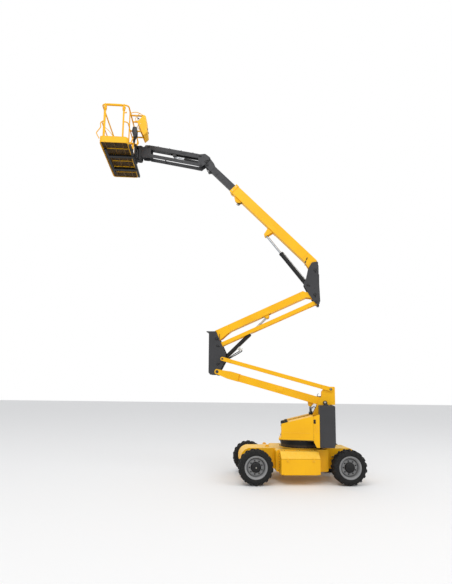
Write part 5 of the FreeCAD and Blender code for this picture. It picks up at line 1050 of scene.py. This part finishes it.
# %% Cylinders
for name, place, radius, rod, length in (("lower_lift", LOWER_RAM, 50, 28, 560), ("arm_lift", ARM_RAM, 50, 28, 1150),
                                         ("boom_lift", BOOM_RAM, 54, 30, 1146), ("jib_lift", JIB_RAM, 34, 19, 500)):
    gland = bmesh.new()
    lathe(gland, place, (length, 0, 0), [(rod + 0.4, 0), (rod + 0.4, 10), (rod + 5, 10), (radius - 6, 6),
                                         (radius, 0)], 36, "X")
    lathe(gland, place, (120, 0, 0), [(radius - 1, -9), (radius + 3, -8), (radius + 3, 8), (radius - 1, 9)], 36, "X")
    for angle in (0, 60, 120, 180, 240, 300):
        turned = place @ Matrix.Rotation(math.radians(angle), 4, "X")
        slab(gland, turned, (length - 34, -9, radius + 2), (length - 14, 9, radius + 6), 1)
    finish_piece(name + "_gland", gland, name + "_barrel", BARREL)
    lines = bmesh.new()
    out = radius + 9
    # the jib's line runs on the side that looks away from the beam
    if name == "jib_lift":
        place = place @ Matrix.Rotation(math.pi, 4, "X")
    hose(lines, place, [(150, 20, out + 6), (170, 20, out + 4), (200, 20, out), (length - 90, 20, out),
                        (length - 68, 16, out - 2), (length - 60, 12, radius)], 5, 8)
    slab(lines, place, (128, -24, radius - 3), (176, 32, radius + 22), 3)
    for x in (260, length - 130):
        slab(lines, place, (x - 8, 8, radius - 2), (x + 8, 32, radius + 16), 2)
    lathe(lines, place, (length - 60, 12, radius - 4), [(0, 16), (10, 16), (10, 0), (0, 0)], 6, "Z")
    finish_piece(name + "_lines", lines, name + "_barrel", ZINC)
valve = bmesh.new()
slab(valve, ARM_RAM, (640, -30, 46), (724, 30, 92), 4)
lathe(valve, ARM_RAM, (700, 0, 90), [(0, 0), (20, 0), (22, 8), (22, 62), (16, 72), (0, 72)], 16, "Z")
lathe(valve, ARM_RAM, (658, 0, 90), [(0, 0), (14, 0), (16, 6), (16, 34), (0, 34)], 6, "Z")
slab(valve, ARM_RAM, (690, -12, 128), (752, 12, 152), 3)
finish_piece("arm_lift_valve", valve, "arm_lift_barrel", BRIGHT)
feed = bmesh.new()
hose(feed, ARM_RAM, [(700, 0, 160), (690, 0, 176), (650, 2, 172), (540, 8, 150), (420, 12, 118), (280, 18, 84),
                     (140, 24, 60)], 13)
hose(feed, ARM_RAM, [(658, 0, 122), (640, -4, 134), (580, -10, 118), (440, -14, 86), (280, -18, 64), (140, -20, 56)], 12)
finish_piece("arm_lift_feed", feed, "arm_lift_barrel", BLACK)

# %% [markdown]
# ## Main boom and extension
# The boom's tube is folded from two channels with a long weld. A cable slot opens near its root, and the bracket
# with a hook under its front end guides the cable track of the extension. The extension slides on adjustable wear
# pads held by screws in the collar.

# %% Boom
beads = bmesh.new()
for side in (1, -1):
    half = mirrored(BOOM, side)
    weld(beads, half, [(460, 101, -22), (460, 101, 214)])
    weld(beads, half, [(2033, 101, 20), (2060, 101, 56), (2058, 101, 60)], 3)
    weld(beads, half, [(1500, 101, 96), (1560, 101, 110), (1680, 101, 110)], 3)
    weld(beads, half, [(3148, 101, -20), (3148, 101, 212)])
    cut_plate(beads, half, [(1470, -30), (1800, -30), (1740, 26), (1540, 26)], 99, 5, 1.5)
    slab(beads, half, (2960, 30, -56), (3040, 40, -22), 2)
for x0, x1 in ((480, 1440), (1860, 2900)):
    slab(beads, BOOM, (x0, -7, 214), (x1, 7, 219), 2)
finish_piece("main_boom_welds", beads, "main_boom", YELLOW)
bracket = bmesh.new()
for side in (1, -1):
    half = mirrored(BOOM, side)
    cut_plate(bracket, half, [(3050, -22), (2790, -22), (2800, -66), (2850, -106), (2950, -112), (3030, -70)], 46, 8, 2)
slab(bracket, BOOM, (2880, -52, -112), (2960, 52, -104), 2)
finish_piece("boom_front_bracket", bracket, "main_boom", YELLOW)
hook = bmesh.new()
lathe(hook, BOOM, (2852, -50, -92), [(0, 0), (24, 0), (24, 6), (16, 8), (16, 92), (24, 94), (24, 100), (0, 100)], 24)
hose(hook, BOOM, [(2800, 0, -60), (2790, 0, -110), (2820, 0, -140), (2866, 0, -138)], 9)
for y in (-24, 0, 24):
    hose(hook, BOOM, [(2990, y, -18), (2960, y, -60), (2900, y, -66), (2850, y, -60), (2800, y, -30), (2760, y, -19)], 8)
finish_piece("boom_hook_and_hoses", hook, "main_boom", HOSE)
slots = bmesh.new()
for side in (1, -1):
    half = mirrored(BOOM, side)
    hose(slots, half, [(382, 96, 96), (378, 102, 84), (364, 102, 56), (360, 96, 46)], 13)
    hose(slots, half, [(342, 96, 10), (338, 102, -2), (326, 102, -28), (322, 96, -38)], 13)
    hose(slots, half, [(372, 98, 70), (334, 98, -14)], 6, 8, 1)
finish_piece("boom_root_cables", slots, "main_boom", HOSE)
collar = [(BOOM, (3195, y, 229), (0, 0, 1)) for y in (-70, 70)]
collar += [(BOOM, (3195, y, -37), (0, 0, -1)) for y in (-70, 70)]
collar += [(BOOM, (3195, 113 * side, z), (0, side, 0)) for side in (1, -1) for z in (30, 162)]
fasten("collar_screws", "main_boom", ZINC, 10, collar)
marks = bmesh.new()
for side in (1, -1):
    half = mirrored(BOOM, side)
    weld(marks, half, [(4082, 73, 10), (4082, 73, 180)], 3)
    cut_plate(marks, half, [(3860, 30), (3900, 30), (3900, 160), (3860, 160)], 71, 3, 1)
    weld(marks, half, [(3640, 73, 12), (3640, 73, 180)], 2.5)
finish_piece("extension_welds", marks, "boom_extension", DARK)
guide = bmesh.new()
slab(guide, BOOM, (4060, -40, -16), (4150, 40, 7), 5)
hose(guide, BOOM, [(4092, 0, -10), (4080, 0, -38), (4100, 0, -58), (4134, 0, -52)], 12)
for y in (-22, 22):
    hose(guide, BOOM, [(4066, y, 2), (4090, y, -18), (4140, y, -32), (4180, y, -34), (4240, y, -20), (4300, y, 20)], 8)
finish_piece("extension_hoses", guide, "boom_extension", HOSE)

# %% [markdown]
# ## Jib
# The jib is a small parallelogram: an open beam above, two links below, and its cylinder between them. Hoses for
# the rotator run along the beam in clamps. The level knuckle is welded from two castings, so a seam crosses it.

# %% Jib
bars = bmesh.new()
for side in (1, -1):
    half = mirrored(JIB, side)
    weld(bars, half, [(112, 75, -54), (112, 75, 54)], 3)
    weld(bars, half, [(1448, 75, -54), (1448, 75, 54)], 3)
    slab(bars, half, (420, 73, -12), (620, 79, 12), 3)
finish_piece("jib_beam_welds", bars, "jib_beam", DARK)
run = bmesh.new()
for k, y in enumerate((-36, 0, 36)):
    hose(run, JIB, [(70, y, 50), (110, y, 68), (200, y, 70), (760, y, 70), (1360, y, 70), (1440, y, 68), (1490, y, 50)], 8)
for x in (240, 600, 960, 1320):
    slab(run, JIB, (x - 16, -58, 58), (x + 16, 58, 82), 4)
finish_piece("jib_hoses", run, "jib_beam", HOSE)
fasten("jib_clamp_screws", "jib_beam", ZINC, 6,
       [(JIB, (x, y, 82), (0, 0, 1)) for x in (240, 600, 960, 1320) for y in (-18, 18)])
rings = bmesh.new()
for side in (1, -1):
    half = mirrored(LINKS, side)
    for x in (0, 1560):
        lathe(rings, half, (x, 0, 0), [(21.5, 136), (34, 136), (34, 139), (31, 140.5), (21.5, 140.5)], 28)
    lathe(rings, half, (1080, 0, 0), [(0, 141), (10, 141), (16, 138), (16, 136), (0, 136)], 20)
finish_piece("jib_link_rings", rings, "jib_links", DARK)
seams = bmesh.new()
for side in (1, -1):
    half = mirrored(LEVEL, side)
    weld(seams, half, [(36, 96, -66), (-30, 96, -6), (-112, 96, 70)], 4)
    weld(seams, half, [(110, 96, 60), (150, 96, -40), (136, 96, -112)], 3)
    lathe(seams, half, (60, 0, 120), [(0, 98), (12, 98), (14, 95), (0, 95)], 20)
finish_piece("level_knuckle_welds", seams, "level_knuckle", DARK)
loops = bmesh.new()
for k, y in enumerate((-50, -20, 20, 50)):
    hose(loops, LEVEL, [(76, y, 112), (86, y, 132), (104, y, 126), (124, y, 98), (140, y, 50), (148, y, 0),
                        (130, y, -60)], 8)
hose(loops, LEVEL, [(20, 88, -70), (0, 92, -104), (-34, 92, -118), (-58, 90, -96), (-40, 88, -60)], 9)
finish_piece("level_knuckle_hoses", loops, "level_knuckle", HOSE)
loops = bmesh.new()
for k, y in enumerate((-45, -15, 15, 45)):
    hose(loops, END, [(20, y, 20), (70, y, 58 + 6 * k), (140, y, 60 + 6 * k), (176, y * 0.8, 24), (184, y * 0.8, -60),
                      (196, y * 0.8, -150)], 8)
for side in (1, -1):
    half = mirrored(END, side)
    hose(loops, half, [(190, 46, -100), (168, 74, -86), (140, 84, -106), (132, 86, -150), (140, 84, -194),
                       (168, 74, -214), (190, 46, -200)], 8)
finish_piece("rotator_hoses", loops, "jib_end_bracket", HOSE)
drive = bmesh.new()
lathe(drive, END, (307, 0, -338), [(84, 0), (92, 4), (92, 40), (84, 44)], 40, "Z")
lathe(drive, END, (307, 0, -4), [(84, 0), (92, 4), (92, 40), (84, 44)], 40, "Z")
lathe(drive, END, (214, 0, -150), [(0, -72), (42, -72), (48, -64), (48, 64), (42, 72), (0, 72)], 28)
finish_piece("rotator_drive", drive, "jib_end_bracket", DARK)
fasten("rotator_screws", "jib_end_bracket", BLACK, 6,
       [(END, (307 + 92 * math.cos(math.tau * k / 12), 92 * math.sin(math.tau * k / 12), z),
         (math.cos(math.tau * k / 12), math.sin(math.tau * k / 12), 0)) for k in range(12) for z in (-316, 18)])

# %% [markdown]
# ## Basket
# The floor is expanded steel sheet in a frame, seen from below as a brown diamond mesh between the ribs, with a
# dark brown sheet behind it in each bay as painted shade. A bent knee tube stands outside the far end, hoses loop on
# the yoke, and a yellow bracket ties the console's foot to the frame. The entry bar slides on its posts with rubber
# stops under it.

# %% Basket floor
spots = bpy.data.meshes.new("panel_spots")
BAY_PITCH = (2 * 915 - 4) / 6
spots.from_pydata([(0.573, 0.001 * (-915 + 2 + BAY_PITCH * (bay + 0.5)), -0.017) for bay in range(6)], [], [])
sheet = run_tree(SHEET_TREE, spots, {"Length": 0.742, "Width": 0.296, "Cell": 0.062, "Strand": 0.0055,
                                     "Material": FLOOR_STEEL})
sheet.transform(BASKET @ Matrix.Scale(1000, 4))
print("floor sheet", len(sheet.polygons), "faces")
finish_mesh("basket_floor_sheet", sheet, "basket", None)
# a dark brown sheet in each bay behind the floor mesh: painted shade seen through the mesh from below
shade_backing = bmesh.new()
for bay in range(6):
    middle = -913 + BAY_PITCH * (bay + 0.5)
    slab(shade_backing, BASKET, (222, middle - 147, -11), (924, middle + 147, -7), 1)
finish_piece("basket_floor_shade_panels", shade_backing, "basket", PAINTED_SHADE_PANEL)
frame_bars = bmesh.new()
for x in (340, 573, 806):
    slab(frame_bars, BASKET, (x - 8, -905, -32), (x + 8, 905, -8), 2)
finish_piece("basket_floor_bars", frame_bars, "basket", FLOOR_STEEL)
trims = bmesh.new()
for side in (1, -1):
    slab(trims, BASKET, (270, 908 * side - 7, -34), (876, 908 * side + 7, -20), 3)
    slab(trims, BASKET, (573 + 373 * side - 7, -830, -34), (573 + 373 * side + 7, 830, -20), 3)
# rolled top edge of the toe boards
route = [(340, 913, 140), (270, 913, 140), (222, 892, 140), (195, 838, 140), (195, -838, 140), (222, -892, 140),
         (270, -913, 140), (876, -913, 140), (928, -892, 140), (951, -838, 140), (951, 838, 140), (928, 892, 140),
         (876, 913, 140), (340, 913, 140)]
hose(trims, BASKET, route, 5, 6, 1)
finish_piece("basket_edges", trims, "basket", YELLOW)

# %% Basket fittings
tubes = bmesh.new()
# knee tube at the open side, from the middle rail out and back to the toe board
hose(tubes, BASKET, [(938, 840, 600), (962, 844, 540), (952, 842, 442), (1040, 842, 300), (1052, 842, 262),
                     (1036, 842, 220), (978, 840, 112)], 13, 12, 4)
hose(tubes, BASKET, [(838, 895, 420), (700, 880, 300), (590, 880, 152)], 9, 10, 3)
# grab loop over the console
hose(tubes, BASKET, [(212, 560, 1070), (190, 560, 1106), (110, 560, 1128), (20, 560, 1122), (-60, 560, 1090)], 10, 10, 4)
hose(tubes, BASKET, [(212, 180, 1070), (190, 180, 1106), (110, 180, 1128), (20, 180, 1122), (-60, 180, 1090)], 10, 10, 4)
finish_piece("basket_tubes", tubes, "basket", YELLOW)
lugs = bmesh.new()
slab(lugs, BASKET, (300, 856, 1000), (352, 884, 1040), 4)
lathe(lugs, BASKET, (296, 870, 1020), [(0, 0), (20, 2), (24, 10), (24, 22), (0, 24)], 20, "X")
for x, y in ((230, 400), (230, -400), (930, 400), (930, -400)):
    cut_plate(lugs, pitched(BASKET, x, y, 140), [(-14, -40), (14, -40), (14, 30), (6, 44), (-6, 44), (-14, 30)], -5, 10, 2)
slab(lugs, BASKET, (96, 540, 20), (150, 556, 190), 3)
slab(lugs, BASKET, (96, 500, 176), (220, 590, 190), 3)
cut_plate(lugs, BASKET, [(196, 130), (150, 170), (112, 330), (136, 340), (170, 214), (196, 190)], 590, 8, 2)
finish_piece("basket_lugs", lugs, "basket", YELLOW)
black_parts = bmesh.new()
# cover under the console that hangs over the hose loom
cut_plate(black_parts, BASKET, [(22, 470), (22, 620), (40, 700), (146, 700), (170, 570), (125, 410), (74, 380)], 420,
          130, 6)
for k in range(4):
    hose(black_parts, BASKET, [(96 + 8 * k, 360 + 40 * k, 480), (112 + 6 * k, 330 + 40 * k, 380),
                               (150, 280 + 40 * k, 250), (172, 240 + 36 * k, 140), (176, 220 + 30 * k, 30)], 9)
for side in (1, -1):
    half = mirrored(BASKET, side)
    hose(black_parts, half, [(168, 120, 380), (160, 132, 396), (150, 140, 330), (148, 140, 200), (154, 136, 90),
                             (168, 126, 60)], 8)
finish_piece("basket_hoses", black_parts, "basket", HOSE)
fitting = bmesh.new()
slab(fitting, BASKET, (262, 880, 850), (330, 896, 876), 5)
lathe(fitting, BASKET, (270, 896, 863), [(0, 0), (12, 0), (17, 4), (18, 14), (13, 20), (0, 21)], 20)
finish_piece("rail_fitting", fitting, "basket", YELLOW)
stops = bmesh.new()
for x in (340, 838):
    lathe(stops, BASKET, (x, 888, 920), [(24, 0), (34, 3), (34, 19), (24, 22)], 24, "Z")
    lathe(stops, BASKET, (x, 888, 1104), [(0, 4), (16, 3), (21, 0), (21, -8), (0, -8)], 24, "Z")
finish_piece("entry_stops", stops, "basket", YELLOW)
sleeve = bmesh.new()
for x in (340, 838):
    lathe(sleeve, BASKET, (x, 888, 960), [(32, 0), (36, 2), (36, 8), (32, 10)], 24, "Z")
    lathe(sleeve, BASKET, (x, 888, 1010), [(32, 0), (36, 2), (36, 8), (32, 10)], 24, "Z")
lathe(sleeve, BASKET, (380, 888, 1080), [(21, 0), (29, 2), (31, 6), (31, 414), (29, 418), (21, 420)], 20, "X")
finish_piece("entry_sleeve_rings", sleeve, "entry_bar", YELLOW)

# %% [markdown]
# ## Control console
# The console is a pressed box that faces the operator. Its panel carries two joystick levers in rubber boots, a row
# of toggle switches, a red mushroom stop and a grey connector, with no lettering. A guard bar protects the levers.

# %% Console
panel = pitched(BASKET, -54, 0, 960, 0)
# the console's sloped face runs from (30, 840) up to (-138, 1080); +X of this frame lies along it, upwards
face = BASKET @ Matrix.Translation((30, 0, 840)) @ Matrix.Rotation(-math.atan2(240, -168), 4, "Y")
dark_panel = bmesh.new()
slab(dark_panel, face, (24, 190, -2.5), (272, 530, -0.5), 1)
finish_piece("console_panel", dark_panel, "basket", BLACK)
print("console panel corner", [round(v, 3) for v in face @ Vector((24, 190, -2.5))])
desk = face @ Matrix.Rotation(math.pi, 4, "X")
controls = bmesh.new()
for y in (-260, -460):
    # rubber boot with three folds, and the lever's knob
    lathe(controls, desk, (150, y, 2), [(0, -2), (34, -2), (34, 2), (24, 7), (28, 12), (20, 18), (23, 23), (12, 31),
                                       (8, 34), (7, 70), (15, 76), (18, 90), (15, 104), (0, 108)], 24, "Z")
for k in range(5):
    lathe(controls, desk, (60, -230 - 56 * k, 2), [(0, -2), (10, -2), (10, 3), (4, 6), (3, 22), (5, 24), (5, 28), (0, 29)],
          12, "Z")
finish_piece("console_levers", controls, "basket", HOSE)
stop_button = bmesh.new()
lathe(stop_button, desk, (232, -360, 1), [(0, -2), (10, -2), (10, 12), (22, 14), (25, 20), (22, 28), (0, 32)], 24, "Z")
finish_piece("console_stop_button", stop_button, "basket", STOP_RED)
guard_bar = bmesh.new()
for y in (-186, -534):
    hose(guard_bar, desk, [(20, y, -1), (24, y, 60), (40, y, 96), (90, y, 118), (220, y, 122), (262, y, 96), (270, y, 40),
                           (270, y, -1)], 8, 10, 4)
hose(guard_bar, desk, [(150, -186, 122), (150, -534, 122)], 8, 10, 1)
finish_piece("console_guard", guard_bar, "basket", YELLOW)
plates = bmesh.new()
for y in (240, 400):
    slab(plates, BASKET, (-262, y, 700), (-236, y + 90, 704), 1)
slab(plates, desk, (196, -520, 1), (262, -420, 4), 1)
lathe(plates, desk, (232, -220, 1), [(0, -1), (24, -1), (24, 8), (18, 10), (18, 14), (0, 14)], 20, "Z")
finish_piece("console_plates", plates, "basket", ZINC)
case_screws = [(BASKET, (x, 549.5, z), (0, 1, 0)) for x, z in ((-60, 800), (-170, 980), (-228, 620), (-140, 520))]
case_screws += [(BASKET, (x, 170.5, z), (0, -1, 0)) for x, z in ((-60, 800), (-170, 980), (-228, 620), (-140, 520))]
fasten("console_screws", "basket", ZINC, 5, case_screws)

# %% [markdown]
# ## Floor, world and lights
# The lift stands on a pale studio floor that keeps its soft shadow. The background is white only to the camera
# and in reflections, so it adds no light of its own to the machine. Wide area lamps above give the even light of
# an overcast day.

# %% Stage
def stage_floor():
    mesh = bpy.data.meshes.new("studio_floor")
    mesh.from_pydata([(-60, -40, 0), (60, -40, 0), (60, 60, 0), (-60, 60, 0)], [], [(0, 1, 2, 3)])
    floor = bpy.data.objects.new("studio_floor", mesh)
    bpy.context.scene.collection.objects.link(floor)
    material, tree, shader, place = finish_material("pale_studio_floor")
    shader.inputs["Base Color"].default_value = tint("#F1F0EE")
    shader.inputs["Roughness"].default_value = 0.9
    mesh.materials.append(material)


stage_floor()
world = bpy.data.worlds.new("soft_sky")
bpy.context.scene.world = world
world.use_nodes = True
sky = world.node_tree
sky.nodes.clear()
ray = add(sky, "ShaderNodeLightPath")
seen = add(sky, "ShaderNodeMath", {0: ray.outputs["Is Camera Ray"], 1: ray.outputs["Is Glossy Ray"]},
           operation="MAXIMUM")
seen = add(sky, "ShaderNodeMath", {0: seen.outputs[0], 1: ray.outputs["Is Transmission Ray"]},
           operation="MAXIMUM")
light = add(sky, "ShaderNodeBackground", {"Color": tint("#F4F6FA"), "Strength": 0.80})
white = add(sky, "ShaderNodeBackground", {"Color": (1, 1, 1, 1), "Strength": 1.0})
mixed = add(sky, "ShaderNodeMixShader", {0: seen.outputs[0], 1: light.outputs[0], 2: white.outputs[0]})
add(sky, "ShaderNodeOutputWorld", {"Surface": mixed.outputs[0]})


def soft_lamp(name, place, aim, size, power):
    """A square area lamp at a place, facing a point."""
    data = bpy.data.lights.new(name, "AREA")
    data.shape = "SQUARE"
    data.size = size
    data.energy = power
    lamp = bpy.data.objects.new(name, data)
    bpy.context.scene.collection.objects.link(lamp)
    lamp.matrix_world = Matrix.Translation(place) @ (Vector(aim) - Vector(place)).to_track_quat(
        "-Z", "Y").to_matrix().to_4x4()


soft_lamp("sky_key", (-6, -12, 18), (-1, 0, 4), 12, 1350)
soft_lamp("sky_fill", (10, -9, 12), (0, 0, 3), 9, 500)
bpy.context.scene.view_settings.view_transform = "Standard"
